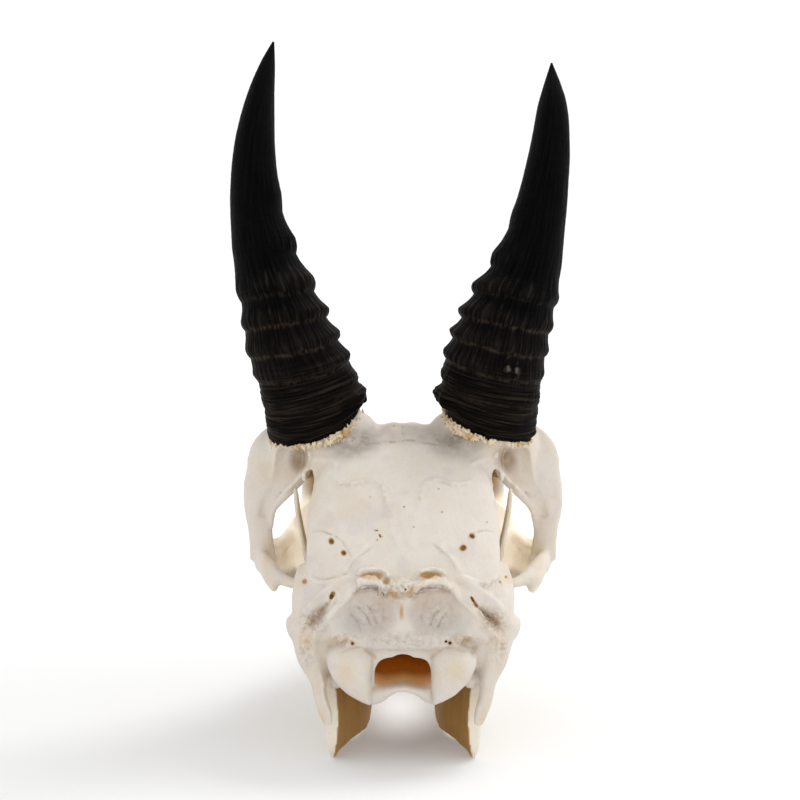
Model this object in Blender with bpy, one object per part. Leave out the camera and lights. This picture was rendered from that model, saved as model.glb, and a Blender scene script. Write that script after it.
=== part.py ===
"""Skull of a male mountain reedbuck, life size: cranium, lower jaw and horn sheaths.

It stands on its lower jaw. All sizes below are millimetres. X runs across the skull, Y runs forward from
the back of the head to the nose, Z is up and the floor is Z = 0. Pairs are named left and right as the
picture shows them: left is minus X.
"""

import math

import bmesh
import bpy
import numpy as np
from mathutils import Matrix, Vector

# Scale of the finished meshes, and the open gap left wherever two nodes meet
MM = 0.001
GAP = 0.3

# Place of the finished frame: the middle of the whole skull on the floor, in the coordinates used below
ORIGIN = (-1.0, 101.8, 0.0)

# The two sides, by name and by the sign of X
SIDES = (("left", -1.0), ("right", 1.0))

# Colours, as linear red, green and blue
BONE = (0.72, 0.66, 0.56)
JAW_BONE = (0.62, 0.52, 0.38)
HORN = (0.012, 0.011, 0.010)

# Size of the cubes that the fused forms are made of, and the triangles each node may keep
MASS_VOXEL = 1.2
MASS_SMOOTHING = 14
CRANIUM_VOXEL = 0.8
JAW_VOXEL = 0.75
CRANIUM_TRIANGLES = 6450
JAW_TRIANGLES = 1300
FRONT_TEETH_VOXEL = 0.35
FRONT_TEETH_TRIANGLES = 330

# Half thickness of the flat blank that each half of the jaw is bent from
JAW_BLANK = 4.0

# Two corners of a room that is larger than the skull, for cutting along planes
ROOM_LOW = (-80.0, -40.0, -20.0)
ROOM_HIGH = (80.0, 240.0, 260.0)

# Braincase above the ear, from back to front: y, lowest z, highest z, half width, squareness
BRAINCASE = (
    (6.0, 38.0, 62.0, 23.0, 3.0),
    (12.0, 40.0, 71.0, 28.5, 3.2),
    (20.0, 46.0, 80.5, 30.5, 3.2),
    (30.0, 54.0, 90.0, 30.5, 3.4),
    (40.0, 55.0, 96.5, 29.2, 3.4),
    (50.0, 55.0, 100.5, 27.5, 3.0),
    (60.0, 56.0, 102.0, 22.0, 3.0),
    (68.0, 57.0, 101.0, 15.0, 2.6),
)

# Base of the skull under the braincase, same columns
SKULL_BASE = (
    (9.0, 26.6, 50.0, 16.0, 2.6),
    (14.0, 23.7, 54.0, 23.0, 2.6),
    (22.0, 27.6, 60.0, 24.0, 2.8),
    (32.0, 34.6, 64.0, 22.0, 2.8),
    (45.0, 42.0, 66.0, 17.0, 2.6),
    (60.0, 49.0, 70.0, 12.0, 2.4),
    (72.0, 50.0, 74.0, 11.0, 2.4),
)

# Broad ledge from the jaw joint back over the ear to the nape, same columns
EAR_LEDGE = (
    (9.0, 39.0, 50.0, 26.0, 3.0),
    (13.0, 37.5, 57.0, 33.0, 3.2),
    (18.0, 39.0, 60.0, 35.4, 3.4),
    (22.5, 46.0, 61.4, 35.4, 3.6),
    (26.0, 56.8, 62.0, 35.0, 3.2),
    (35.0, 57.6, 62.6, 34.0, 2.8),
)

# Forehead plate that carries the horns and roofs the orbits, same columns
FOREHEAD = (
    (40.0, 86.0, 95.6, 24.0, 2.4),
    (46.0, 87.0, 99.0, 32.0, 2.6),
    (52.0, 88.0, 101.5, 40.0, 2.6),
    (60.0, 89.0, 102.8, 43.5, 2.6),
    (70.0, 87.0, 101.6, 41.5, 2.6),
    (80.0, 83.0, 98.4, 37.0, 2.6),
    (90.0, 77.0, 93.2, 32.0, 2.6),
    (100.0, 72.0, 87.0, 26.0, 2.6),
)

# Face from between the orbits to the muzzle, same columns and how much narrower the top is than the bottom
FACE = (
    (60.0, 56.0, 100.0, 13.0, 2.6, 0.10),
    (72.0, 47.0, 99.5, 13.0, 2.6, 0.10),
    (78.0, 42.0, 98.0, 21.0, 2.8, 0.0),
    (84.0, 41.5, 95.5, 27.0, 2.8, -0.05),
    (92.0, 40.6, 91.5, 29.0, 3.0, -0.18),
    (102.0, 39.6, 86.0, 29.0, 3.0, -0.30),
    (120.0, 37.5, 75.8, 25.5, 2.8, -0.40),
    (136.0, 35.5, 66.8, 19.5, 2.6, -0.36),
    (150.0, 31.5, 59.5, 14.8, 2.6, -0.28),
    (166.0, 27.5, 51.0, 12.6, 2.6, -0.22),
    (176.0, 25.2, 44.5, 12.2, 2.6, -0.22),
    (186.0, 23.6, 36.0, 12.2, 2.6, -0.10),
    (198.0, 22.4, 29.5, 10.8, 2.4, 0.0),
    (205.0, 22.6, 26.4, 7.0, 2.2, 0.0),
)

# Bony arch under the orbit, from the cheek back to the jaw joint: x, y, z, half thickness, half height
CHEEK_ARCH = (
    (26.0, 104.0, 48.5, 3.0, 7.0),
    (33.5, 93.0, 50.5, 3.0, 7.8),
    (39.0, 82.0, 53.0, 2.8, 7.6),
    (43.5, 71.0, 55.4, 2.5, 6.4),
    (46.4, 60.0, 57.6, 2.3, 5.0),
    (46.4, 50.0, 59.2, 2.2, 4.0),
    (43.4, 40.0, 60.6, 2.4, 3.0),
    (37.0, 32.0, 61.0, 3.4, 2.8),
    (28.0, 26.0, 60.6, 4.5, 3.2),
)

# Spur under the arch where cheekbone and temple overlap, same columns
ARCH_SPUR = (
    (43.5, 42.0, 60.0, 3.2, 2.2),
    (42.0, 36.0, 57.6, 3.0, 2.0),
    (41.2, 32.0, 54.4, 1.4, 1.4),
)

# Bar behind the orbit, from the forehead down to the arch: x, y, z, half width, half thickness
ORBIT_BAR = (
    (33.0, 58.0, 96.0, 9.5, 3.4),
    (40.7, 57.0, 92.5, 9.6, 3.0),
    (43.8, 55.5, 82.7, 7.8, 2.4),
    (46.6, 54.0, 74.5, 4.6, 2.1),
    (46.6, 53.0, 67.0, 4.0, 2.0),
    (45.8, 52.0, 58.5, 4.4, 2.2),
)

# Rim of the orbit, a closed ring: x, y, z, half width, half thickness
ORBIT_RIM = (
    (50.0, 55.5, 78.0, 2.4, 2.4),
    (48.4, 58.5, 88.5, 2.6, 2.6),
    (42.5, 67.0, 96.0, 2.8, 2.8),
    (36.0, 80.0, 93.0, 2.6, 2.6),
    (32.0, 89.0, 82.0, 2.6, 2.6),
    (32.5, 90.0, 69.0, 2.6, 2.6),
    (38.5, 80.5, 60.5, 2.5, 2.5),
    (45.0, 66.0, 59.5, 2.3, 2.3),
    (48.0, 56.5, 67.0, 2.2, 2.2),
)
ORBIT_CENTRE = (36.0, 72.0, 77.5)
ORBIT_FLOOR_CENTRE = (32.0, 84.0, 57.0)
ORBIT_FLOOR_HALF_SIZES = (11.0, 12.0, 13.0)
ORBIT_HALF_SIZES = (22.5, 15.0, 15.5)

# Crest across the back of the head: x, y, z, half width, half thickness
NAPE_CREST = (
    (-35.0, 19.0, 43.5, 3.6, 3.6),
    (-27.5, 12.0, 48.0, 2.4, 2.4),
    (-15.0, 5.5, 58.5, 1.8, 1.8),
    (0.0, 4.5, 59.0, 1.8, 1.8),
    (15.0, 5.5, 58.5, 1.8, 1.8),
    (27.5, 12.0, 48.0, 2.4, 2.4),
    (35.0, 19.0, 43.5, 3.6, 3.6),
)

# Neck joint beside the great opening: x, y, z, half width, half depth
NECK_CONDYLE = (
    (9.8, 9.6, 21.6, 1.2, 2.2),
    (11.4, 7.4, 24.0, 2.4, 4.0),
    (13.6, 5.6, 26.8, 4.2, 5.2),
    (15.4, 4.6, 30.0, 6.0, 5.4),
    (16.0, 4.2, 33.6, 6.9, 5.0),
    (15.6, 5.4, 37.0, 6.8, 4.4),
    (14.6, 7.8, 40.0, 4.6, 3.4),
)
GREAT_OPENING = (
    (-4.0, 18.0, 37.6, 8.8, 3.0),
    (7.0, 20.5, 37.6, 8.7, 3.0),
    (12.5, 28.0, 37.8, 8.6, 3.0),
    (20.0, 31.6, 44.0, 11.0, 2.6),
    (30.0, 38.6, 50.0, 12.0, 2.4),
    (38.0, 43.0, 48.0, 7.0, 2.2),
)

# Spur that hangs beside the neck joint: x, y, z, half width, half depth
NECK_SPUR = (
    (30.5, 16.0, 41.0, 4.6, 5.0),
    (29.0, 13.6, 34.0, 4.2, 4.2),
    (27.2, 12.0, 27.4, 2.2, 3.4),
    (26.4, 11.4, 22.0, 1.7, 2.8),
    (24.7, 10.8, 17.0, 1.7, 2.3),
    (23.7, 10.4, 13.2, 1.1, 1.5),
)

EAR_BULLA_CENTRE = (15.6, 28.0, 33.0)
EAR_BULLA_HALF_SIZES = (5.4, 9.5, 9.5)
# Bony tube of the ear: x, y, z, and its two half sizes
EAR_TUBE = ((19.0, 24.0, 41.0, 4.0, 4.0), (28.0, 20.0, 44.5, 3.6, 3.6), (34.5, 18.6, 46.8, 3.4, 3.4))
MASTOID_CENTRE = (32.0, 18.0, 43.5)
MASTOID_HALF_SIZES = (5.0, 6.0, 5.5)

# Wing of bone under the skull behind the palate: x, y, z, half thickness, half height
PALATE_WING = (
    (12.5, 88.0, 46.0, 1.4, 5.0),
    (11.8, 76.0, 46.5, 1.2, 6.5),
    (10.8, 66.0, 46.5, 1.1, 8.0),
    (10.2, 57.0, 50.0, 1.2, 5.0),
    (10.0, 50.0, 51.0, 1.2, 3.0),
)

# Openings cut into the face, same columns as the braincase: throat, roof of the mouth, nose
THROAT_OPENING = (
    (60.0, 38.0, 49.5, 7.6, 3.0),
    (74.0, 40.0, 51.5, 7.8, 3.0),
    (86.0, 43.5, 52.0, 7.0, 2.6),
    (98.0, 45.0, 50.5, 4.6, 2.4),
)
PALATE_VAULT = (
    (74.0, 30.0, 44.0, 13.0, 3.0),
    (100.0, 30.0, 41.8, 14.2, 3.0),
    (130.0, 28.0, 38.2, 9.6, 3.0),
    (150.0, 24.0, 33.0, 6.6, 2.6),
    (162.0, 20.0, 28.4, 4.6, 2.4),
)
NOSE_OPENING = (
    (146.0, 44.0, 50.0, 3.6, 2.4),
    (158.0, 35.0, 48.2, 7.4, 2.8),
    (170.0, 29.0, 43.2, 9.0, 2.8),
    (184.0, 26.8, 42.0, 9.2, 2.8),
    (198.0, 25.6, 44.0, 8.0, 2.6),
    (212.0, 25.2, 46.0, 6.0, 2.4),
)

# The nasal bones, as a block of the face that they fill, same columns as the braincase
NASAL_BLOCK = (
    (97.0, 83.5, 97.0, 4.0, 5.0),
    (104.0, 79.6, 95.0, 8.6, 5.0),
    (130.0, 66.2, 80.0, 9.6, 5.0),
    (160.0, 50.6, 64.0, 8.6, 5.0),
    (182.0, 40.4, 54.0, 7.0, 5.0),
)
# The premaxillae, as a side view of the block of the muzzle that they fill: y, z
PREMAXILLA_BLOCK = (
    (166.0, 14.0),
    (164.5, 24.0),
    (161.0, 33.0),
    (156.0, 42.0),
    (151.0, 51.0),
    (154.0, 52.4),
    (160.0, 49.6),
    (178.0, 41.0),
    (182.0, 39.4),
    (212.0, 39.4),
    (212.0, 14.0),
)
MUZZLE_HALF_WIDTH = 20.0

# Horn base on the forehead, and the stub of bone under it
HORN_BASE = (29.0, 57.0, 102.8)
HORN_STUB_FOOT = (27.0, 60.0, 86.0)
HORN_STUB_RADIUS = 14.6
# Room round the foot of the horn: how far up, how much wider than the horn
HORN_SEAT_STEPS = ((0.0, 0.4), (8.0, 2.0), (24.0, 3.0))
HORN_SEAT_RINGS = 8
HORN_SEAT_SIDES = 24

# Course of each horn, from the base up: x, y, z, radius across, radius fore and aft
HORN_COURSE_LEFT = (
    (-29.4, 57.0, 102.6, 15.0, 15.0),
    (-30.0, 55.2, 110.0, 15.4, 15.2),
    (-32.2, 53.4, 120.0, 14.9, 14.9),
    (-35.7, 52.4, 130.0, 14.1, 14.3),
    (-39.3, 52.2, 143.0, 12.1, 12.7),
    (-43.8, 52.8, 156.0, 10.3, 11.0),
    (-46.8, 54.4, 169.0, 8.6, 9.4),
    (-48.2, 57.0, 182.0, 7.4, 8.0),
    (-48.0, 60.8, 194.5, 6.3, 6.8),
    (-46.6, 65.9, 207.0, 4.6, 5.0),
    (-44.0, 72.0, 219.8, 2.2, 2.4),
    (-42.4, 75.0, 226.2, 0.6, 0.6),
)
HORN_COURSE_RIGHT = (
    (28.6, 57.0, 102.6, 14.9, 15.0),
    (28.2, 55.2, 110.0, 15.6, 15.2),
    (29.2, 53.4, 120.0, 15.7, 15.0),
    (31.4, 52.4, 130.0, 14.9, 14.5),
    (35.0, 52.2, 143.0, 13.2, 13.2),
    (39.6, 52.8, 156.0, 10.6, 11.1),
    (43.2, 54.4, 169.0, 8.6, 9.3),
    (46.0, 57.0, 182.0, 7.2, 7.9),
    (47.7, 60.8, 194.5, 6.0, 6.5),
    (48.4, 65.9, 207.0, 4.2, 4.6),
    (48.4, 71.8, 219.4, 0.6, 0.6),
)
# Rings on the lower part of each horn: how far along the horn each stands, how far it stands out
HORN_RINGS = (0.06, 0.12, 0.17, 0.232, 0.294, 0.363, 0.45)
HORN_RING_HEIGHT = 1.2
HORN_RING_SPREAD = 0.018
HORN_STATIONS = 42
HORN_SIDES = 18

# Lower jaw, side view, from the joint down the back edge, along the floor, and back over the teeth: y, z
JAW_OUTLINE = (
    (27.6, 50.0),
    (26.0, 42.0),
    (20.5, 31.0),
    (17.4, 20.0),
    (17.0, 9.0),
    (22.0, 0.6),
    (31.0, -1.0),
    (44.0, 1.4),
    (60.0, 1.6),
    (76.0, -0.3),
    (90.0, -1.0),
    (104.0, 0.8),
    (124.0, 5.2),
    (146.0, 9.6),
    (168.0, 12.6),
    (184.0, 15.2),
    (188.0, 18.2),
    (180.0, 20.6),
    (160.0, 19.4),
    (142.0, 19.8),
    (130.0, 22.0),
    (108.0, 24.6),
    (86.0, 26.4),
    (70.0, 28.5),
    (64.0, 36.0),
    (58.0, 48.0),
    (53.0, 61.0),
    (49.0, 75.0),
    (44.0, 83.5),
    (40.0, 83.0),
    (39.5, 72.0),
    (40.0, 60.0),
    (36.5, 52.5),
)
# Middle of the jaw blade at the floor, by y, and how far it leans outward, by z
JAW_FLOOR_LINE = (
    (10.0, 23.2),
    (24.0, 22.8),
    (43.0, 20.6),
    (60.0, 18.2),
    (81.0, 15.6),
    (93.0, 14.6),
    (125.0, 11.8),
    (145.0, 8.2),
    (165.0, 4.6),
    (190.0, 3.8),
)
JAW_LEAN = ((0.0, 0.0), (25.0, 1.0), (47.0, 6.0), (62.0, 9.6), (84.0, 12.6))
# Half thickness of the jaw blade, by y, and the share of it that is left, by z
JAW_HALF_THICKNESS = (
    (15.0, 1.9),
    (40.0, 1.8),
    (58.0, 2.6),
    (72.0, 4.6),
    (100.0, 4.8),
    (130.0, 4.2),
    (150.0, 3.6),
    (190.0, 3.2),
)
JAW_THINNING = ((0.0, 0.9), (12.0, 1.0), (30.0, 1.0), (40.0, 0.85), (55.0, 0.62), (84.0, 0.5))

# Knuckle of the jaw joint and the neck under it: x, y, z, half size across, half size square to that
JAW_JOINT = (
    (26.5, 31.5, 52.6, 2.6, 2.4),
    (29.5, 31.2, 53.4, 3.4, 3.0),
    (34.0, 31.0, 53.2, 3.4, 3.0),
    (37.5, 31.2, 52.4, 2.4, 2.2),
)
JAW_NECK = ((31.8, 31.0, 53.0, 3.6, 2.6), (30.6, 30.0, 46.0, 2.4, 3.6), (29.4, 29.5, 40.0, 1.6, 4.6))

# Cheek teeth. Height and slope of the line where they meet, then for each row, from back to front: the
# lengths, the half widths, the y where the row starts, its middle line as y and x, and the height from
# chewing face to root
CHEWING_Y = 79.0
CHEWING_Z_AT_MOLARS = 33.0
CHEWING_SLOPE = -0.0875
UPPER_TEETH = (
    (12.0, 12.0, 10.5, 7.5, 7.5, 6.5),
    (5.2, 5.6, 5.4, 4.4, 4.0, 3.4),
    79.0,
    ((78.0, 23.5), (100.0, 21.8), (120.0, 18.2), (136.0, 15.0)),
    13.0,
)
LOWER_TEETH = (
    (16.0, 12.0, 10.5, 7.0, 6.5, 6.0),
    (3.2, 3.4, 3.3, 2.8, 2.4, 2.0),
    69.0,
    ((66.0, 20.6), (90.0, 16.8), (110.0, 15.2), (128.0, 13.2)),
    14.0,
)
# Each tooth from its chewing face to its root: share of its height, share of its width
TOOTH_SWELL = ((0.0, 0.86), (0.25, 1.0), (1.0, 0.84))
TOOTH_SIDES = 12
TOOTH_SQUARENESS = 4.0
TOOTH_GAP = 0.5
CHEWING_GAP = 0.4

# Front teeth of the lower jaw: place across, half width. Each stands further back by a share of its
# place across
INCISORS = ((2.5, 2.2), (6.2, 1.7), (9.2, 1.4), (11.8, 1.2))
INCISOR_ARC = 0.32
# Each front tooth from its root to its edge: share of its place across, step across, y, whether it stands
# back with its place, z, share of its half width, half thickness
INCISOR_STATIONS = (
    (0.36, 1.2, 178.0, 0.0, 15.5, 0.5, 1.0),
    (0.72, 0.7, 187.0, 1.0, 17.0, 0.6, 1.1),
    (1.0, 0.0, 193.0, 1.0, 18.6, 1.0, 1.0),
    (1.0, 0.0, 197.5, 1.0, 21.2, 0.9, 0.6),
)


def flow(rows, count):
    """Rows of numbers carried smoothly through the given rows, at even steps of the way between them."""
    rows = np.asarray(rows, float)
    steps = np.linalg.norm(np.diff(rows[:, :3], axis=0), axis=1)
    way = np.concatenate([[0.0], np.cumsum(steps)])
    slope = np.gradient(rows, way, axis=0)
    at = np.linspace(0.0, way[-1], count)
    i = np.clip(np.searchsorted(way, at, side="right") - 1, 0, len(rows) - 2)
    span = (way[i + 1] - way[i])[:, None]
    t = (at - way[i])[:, None] / span
    start = (2 * t**3 - 3 * t**2 + 1) * rows[i] + (t**3 - 2 * t**2 + t) * span * slope[i]
    end = (3 * t**2 - 2 * t**3) * rows[i + 1] + (t**3 - t**2) * span * slope[i + 1]
    return start + end


def along(pairs, value):
    """Straight reading between the pairs of a short table."""
    table = np.asarray(pairs, float)
    return np.interp(value, table[:, 0], table[:, 1])


def oval(sides, power=2.0, taper=0.0):
    """Points of a rounded square on the unit circle, narrowed towards its top by the taper."""
    turn = np.arange(sides) * 2.0 * math.pi / sides
    across = np.sign(np.cos(turn)) * np.abs(np.cos(turn)) ** (2.0 / power)
    up = np.sign(np.sin(turn)) * np.abs(np.sin(turn)) ** (2.0 / power)
    return across * (1.0 + taper * up), up


def skin(bm, rings, closed=False):
    """A closed skin over rings of points: a grid rolled up, its seam welded and its ends filled."""
    rings = list(rings) + ([rings[0]] if closed else [])
    sides = len(rings[0])
    sheet = bmesh.new()
    bmesh.ops.create_grid(sheet, x_segments=sides, y_segments=len(rings) - 1, size=1.0)
    sheet.verts.ensure_lookup_table()
    for number, vert in enumerate(sheet.verts):
        row, column = divmod(number, sides + 1)
        vert.co = rings[row][column % sides]
    bmesh.ops.remove_doubles(sheet, verts=sheet.verts[:], dist=1e-5)
    if not closed:
        open_edges = [edge for edge in sheet.edges if edge.is_boundary]
        bmesh.ops.holes_fill(sheet, edges=open_edges, sides=0)
    bmesh.ops.recalc_face_normals(sheet, faces=sheet.faces[:])
    add_to(bm, sheet)


def add_to(bm, piece):
    """Puts the closed shell of one piece beside those already in the mesh."""
    mesh = bpy.data.meshes.new("piece")
    piece.to_mesh(mesh)
    piece.free()
    bm.from_mesh(mesh)
    bpy.data.meshes.remove(mesh)


def loft(bm, rows, count, sides, shift=0.0):
    """A body through upright sections: y, lowest z, highest z, half width, squareness and maybe a taper."""
    rings = []
    for row in flow(rows, count):
        y, low, high, half_width, power = row[:5]
        across, up = oval(sides, power, row[5] if len(row) > 5 else 0.0)
        height = 0.5 * (high + low) + 0.5 * (high - low) * up
        rings.append(np.column_stack([shift + half_width * across, np.full(sides, y), height]))
    skin(bm, rings)


def rings_along(course, sides, side, across):
    """Oval rings square to a course of x, y, z and two half sizes, the first of them near the way across."""
    rings = []
    u, v = oval(sides)
    for row, ahead in zip(course, np.gradient(course[:, :3], axis=0)):
        ahead = Vector(ahead).normalized()
        wide = Vector(across) - ahead * ahead.dot(Vector(across))
        wide.normalize()
        points = row[:3] + np.outer(u * row[3], wide) + np.outer(v * row[4], ahead.cross(wide))
        points[:, 0] *= side
        rings.append(points)
    return rings


def tube(bm, rows, count, sides, side=1.0, across=(1.0, 0.0, 0.0), closed=False):
    """A tube of oval section along a course: x, y, z, half size across, half size square to that."""
    rows = np.asarray(rows, float)
    if closed:
        rows = np.vstack([rows[-2:], rows, rows[:2]])
    course = flow(rows, count)
    if closed:
        kept = flow_share(rows, 2, -2, count)
        course = course[kept[0]:kept[1]]
    skin(bm, rings_along(course, sides, side, across), closed)


def flow_share(rows, first, last, count):
    """First and last step of a smooth course that lie between two of its rows."""
    steps = np.linalg.norm(np.diff(np.asarray(rows)[:, :3], axis=0), axis=1)
    way = np.concatenate([[0.0], np.cumsum(steps)])
    share = (count - 1) / way[-1]
    return int(round(way[first] * share)), int(round(way[len(rows) + last] * share))


def blob(bm, centre, half_sizes, side=1.0):
    """An egg-shaped ball."""
    place = Matrix.Translation((centre[0] * side, centre[1], centre[2]))
    place = place @ Matrix.Diagonal((*half_sizes, 1.0))
    bmesh.ops.create_icosphere(bm, subdivisions=3, radius=1.0, matrix=place)


def new_object(name, bm):
    """An object that holds the given mesh, which is used up."""
    mesh = bpy.data.meshes.new(name)
    bm.to_mesh(mesh)
    bm.free()
    made = bpy.data.objects.new(name, mesh)
    bpy.context.scene.collection.objects.link(made)
    return made


def bake(made):
    """Puts the shape that the modifiers give into the mesh itself."""
    bpy.context.view_layer.update()
    seen = made.evaluated_get(bpy.context.evaluated_depsgraph_get())
    mesh = bpy.data.meshes.new_from_object(seen)
    old = made.data
    made.modifiers.clear()
    made.data = mesh
    bpy.data.meshes.remove(old)


def fuse(made, voxel, smoothing):
    """Melts overlapping shells into one closed skin and softens it."""
    melt = made.modifiers.new("melt", "REMESH")
    melt.mode = "VOXEL"
    melt.voxel_size = voxel
    soften = made.modifiers.new("soften", "SMOOTH")
    soften.factor = 0.5
    soften.iterations = smoothing
    bake(made)


def combine(made, tool, operation):
    """Cuts, joins or crosses with another closed solid, which is used up."""
    step = made.modifiers.new("combine", "BOOLEAN")
    step.operation = operation
    step.solver = "MANIFOLD"
    step.object = tool
    bake(made)
    bpy.data.objects.remove(tool)


def copy_of(made, name):
    """A second object with the same mesh."""
    twin = bpy.data.objects.new(name, made.data.copy())
    bpy.context.scene.collection.objects.link(twin)
    return twin


def keep_largest(made):
    """Leaves only the largest closed surface, so that no crumb or inner bubble stays."""
    bm = bmesh.new()
    bm.from_mesh(made.data)
    bmesh.ops.remove_doubles(bm, verts=bm.verts[:], dist=1e-4)
    unseen = set(bm.verts)
    islands = []
    while unseen:
        island = set()
        edge_of_it = [unseen.pop()]
        while edge_of_it:
            vert = edge_of_it.pop()
            island.add(vert)
            for edge in vert.link_edges:
                other = edge.other_vert(vert)
                if other in unseen:
                    unseen.discard(other)
                    edge_of_it.append(other)
        islands.append(island)
    islands.sort(key=len)
    crumbs = [vert for island in islands[:-1] for vert in island]
    bmesh.ops.delete(bm, geom=crumbs, context="VERTS")
    bm.to_mesh(made.data)
    bm.free()


def lighten(made, triangles):
    """Thins the mesh to about so many triangles."""
    bpy.context.view_layer.update()
    now = sum(len(face.vertices) - 2 for face in made.data.polygons)
    thin = made.modifiers.new("thin", "DECIMATE")
    thin.ratio = min(1.0, triangles / now)
    thin.use_collapse_triangulate = True
    bake(made)
    keep_largest(made)


def box(name, low, high):
    """A plain box between two corners."""
    bm = bmesh.new()
    low, high = Vector(low), Vector(high)
    place = Matrix.Translation((low + high) / 2) @ Matrix.Diagonal((*(high - low), 1.0))
    bmesh.ops.create_cube(bm, size=1.0, matrix=place)
    return new_object(name, bm)


def side_plate(name, outline, low_x, high_x, count=0):
    """A plate with the given side view, y and z, between two places across.

    With a count, its outline runs smoothly through the given points.
    """
    points = np.asarray(outline, float)
    if count:
        ring = np.vstack([points[-2:], points, points[:3]])
        padded = np.column_stack([np.zeros(len(ring)), ring])
        smooth = flow(padded, count)
        first, last = flow_share(padded, 2, -3, count)
        points = smooth[first:last, 1:]
    bm = bmesh.new()
    start = bmesh.ops.create_circle(bm, cap_ends=True, segments=len(points), radius=1.0)["verts"]
    for vert, (y, z) in zip(start, points):
        vert.co = (low_x, y, z)
    bmesh.ops.triangulate(bm, faces=bm.faces[:])
    drawn = bmesh.ops.extrude_face_region(bm, geom=bm.faces[:])["geom"]
    far_side = [item for item in drawn if isinstance(item, bmesh.types.BMVert)]
    bmesh.ops.translate(bm, verts=far_side, vec=(high_x - low_x, 0.0, 0.0))
    bmesh.ops.recalc_face_normals(bm, faces=bm.faces[:])
    return new_object(name, bm)


def chewing_z(y):
    """Height at which the upper and lower cheek teeth meet."""
    return CHEWING_Z_AT_MOLARS + (y - CHEWING_Y) * CHEWING_SLOPE


def tooth_row(side, row, way):
    """One row of cheek teeth, back to front, rooted up (way 1) or down (way -1) from the chewing line."""
    lengths, half_widths, start, row_x, height = row
    bm = bmesh.new()
    y = start
    for length, half_width in zip(lengths, half_widths):
        middle = y + length / 2
        half_length = length / 2 - TOOTH_GAP / 2
        rings = []
        across, up = oval(TOOTH_SIDES, TOOTH_SQUARENESS)
        for share, swell in TOOTH_SWELL:
            x = side * along(row_x, middle) + half_width * swell * across
            place = middle + half_length * swell * up
            z = chewing_z(place) + way * (CHEWING_GAP / 2 + share * height)
            rings.append(np.column_stack([x, place, z]))
        skin(bm, rings)
        y += length
    return new_object("teeth", bm)


def horn_course(course):
    """Stations up the horn with its rings, from the base to the tip."""
    stations = flow(course, HORN_STATIONS)
    share = np.linspace(0.0, 1.0, HORN_STATIONS)
    lift = np.zeros(HORN_STATIONS)
    for place in HORN_RINGS:
        lift += np.exp(-((share - place) / HORN_RING_SPREAD) ** 2)
    stations[:, 3:] += (lift * HORN_RING_HEIGHT)[:, None]
    return stations


def horn(name, course):
    """One horn sheath, solid, standing on the stub of the forehead."""
    bm = bmesh.new()
    skin(bm, rings_along(horn_course(course), HORN_SIDES, 1.0, (1.0, 0.0, 0.0)))
    return new_object(name, bm)


def base_plane(course, depth):
    """A point on the course of the horn and the way the horn leaves there."""
    first, second = (Vector(row[:3]) for row in flow(course, HORN_STATIONS)[:2])
    ahead = (second - first).normalized()
    return first - ahead * depth, ahead


def cranium():
    """The cranium without horns, nasals cut free later: fused forms, openings cut, upper teeth joined."""
    bm = bmesh.new()
    loft(bm, BRAINCASE, 30, 32)
    loft(bm, SKULL_BASE, 24, 28)
    loft(bm, FOREHEAD, 26, 32)
    loft(bm, FACE, 56, 32)
    loft(bm, EAR_LEDGE, 20, 28)
    made = new_object("cranium", bm)
    fuse(made, MASS_VOXEL, MASS_SMOOTHING)
    bm = bmesh.new()
    bm.from_mesh(made.data)
    bpy.data.objects.remove(made)
    tube(bm, NAPE_CREST, 40, 12, across=(0.0, 1.0, 0.0))
    for side in (-1.0, 1.0):
        tube(bm, CHEEK_ARCH, 40, 14, side)
        tube(bm, ARCH_SPUR, 10, 10, side)
        tube(bm, ORBIT_BAR, 24, 16, side)
        tube(bm, ORBIT_RIM, 80, 12, side, across=(0.8, -0.6, 0.0), closed=True)
        tube(bm, NECK_CONDYLE, 16, 14, side)
        tube(bm, NECK_SPUR, 20, 12, side)
        tube(bm, EAR_TUBE, 10, 12, side, across=(0.0, 1.0, 0.0))
        tube(bm, PALATE_WING, 20, 10, side)
        blob(bm, ORBIT_FLOOR_CENTRE, ORBIT_FLOOR_HALF_SIZES, side)
        blob(bm, EAR_BULLA_CENTRE, EAR_BULLA_HALF_SIZES, side)
        blob(bm, MASTOID_CENTRE, MASTOID_HALF_SIZES, side)
        stub = (
            (*HORN_STUB_FOOT, HORN_STUB_RADIUS, HORN_STUB_RADIUS),
            (*HORN_BASE, HORN_STUB_RADIUS, HORN_STUB_RADIUS),
        )
        tube(bm, stub, 6, 24, side)
    made = new_object("cranium", bm)
    fuse(made, CRANIUM_VOXEL, 3)
    for side in (-1.0, 1.0):
        bm = bmesh.new()
        blob(bm, ORBIT_CENTRE, ORBIT_HALF_SIZES, side)
        combine(made, new_object("orbit", bm), "DIFFERENCE")
    bm = bmesh.new()
    loft(bm, GREAT_OPENING, 24, 24)
    combine(made, new_object("great opening", bm), "DIFFERENCE")
    for opening in (THROAT_OPENING, PALATE_VAULT, NOSE_OPENING):
        bm = bmesh.new()
        loft(bm, opening, 30, 24)
        combine(made, new_object("opening", bm), "DIFFERENCE")
    fuse(made, CRANIUM_VOXEL, 2)
    return made


def horn_seat(course):
    """The space that a horn takes out of the forehead: its foot with the gap added."""
    foot, ahead = base_plane(course, GAP)
    bm = bmesh.new()
    radius = course[0][3]
    seat = []
    for rise, widen in HORN_SEAT_STEPS:
        seat.append((*(foot + ahead * rise), radius + widen, radius + widen))
    tube(bm, seat, HORN_SEAT_RINGS, HORN_SEAT_SIDES)
    return new_object("horn seat", bm)


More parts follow.
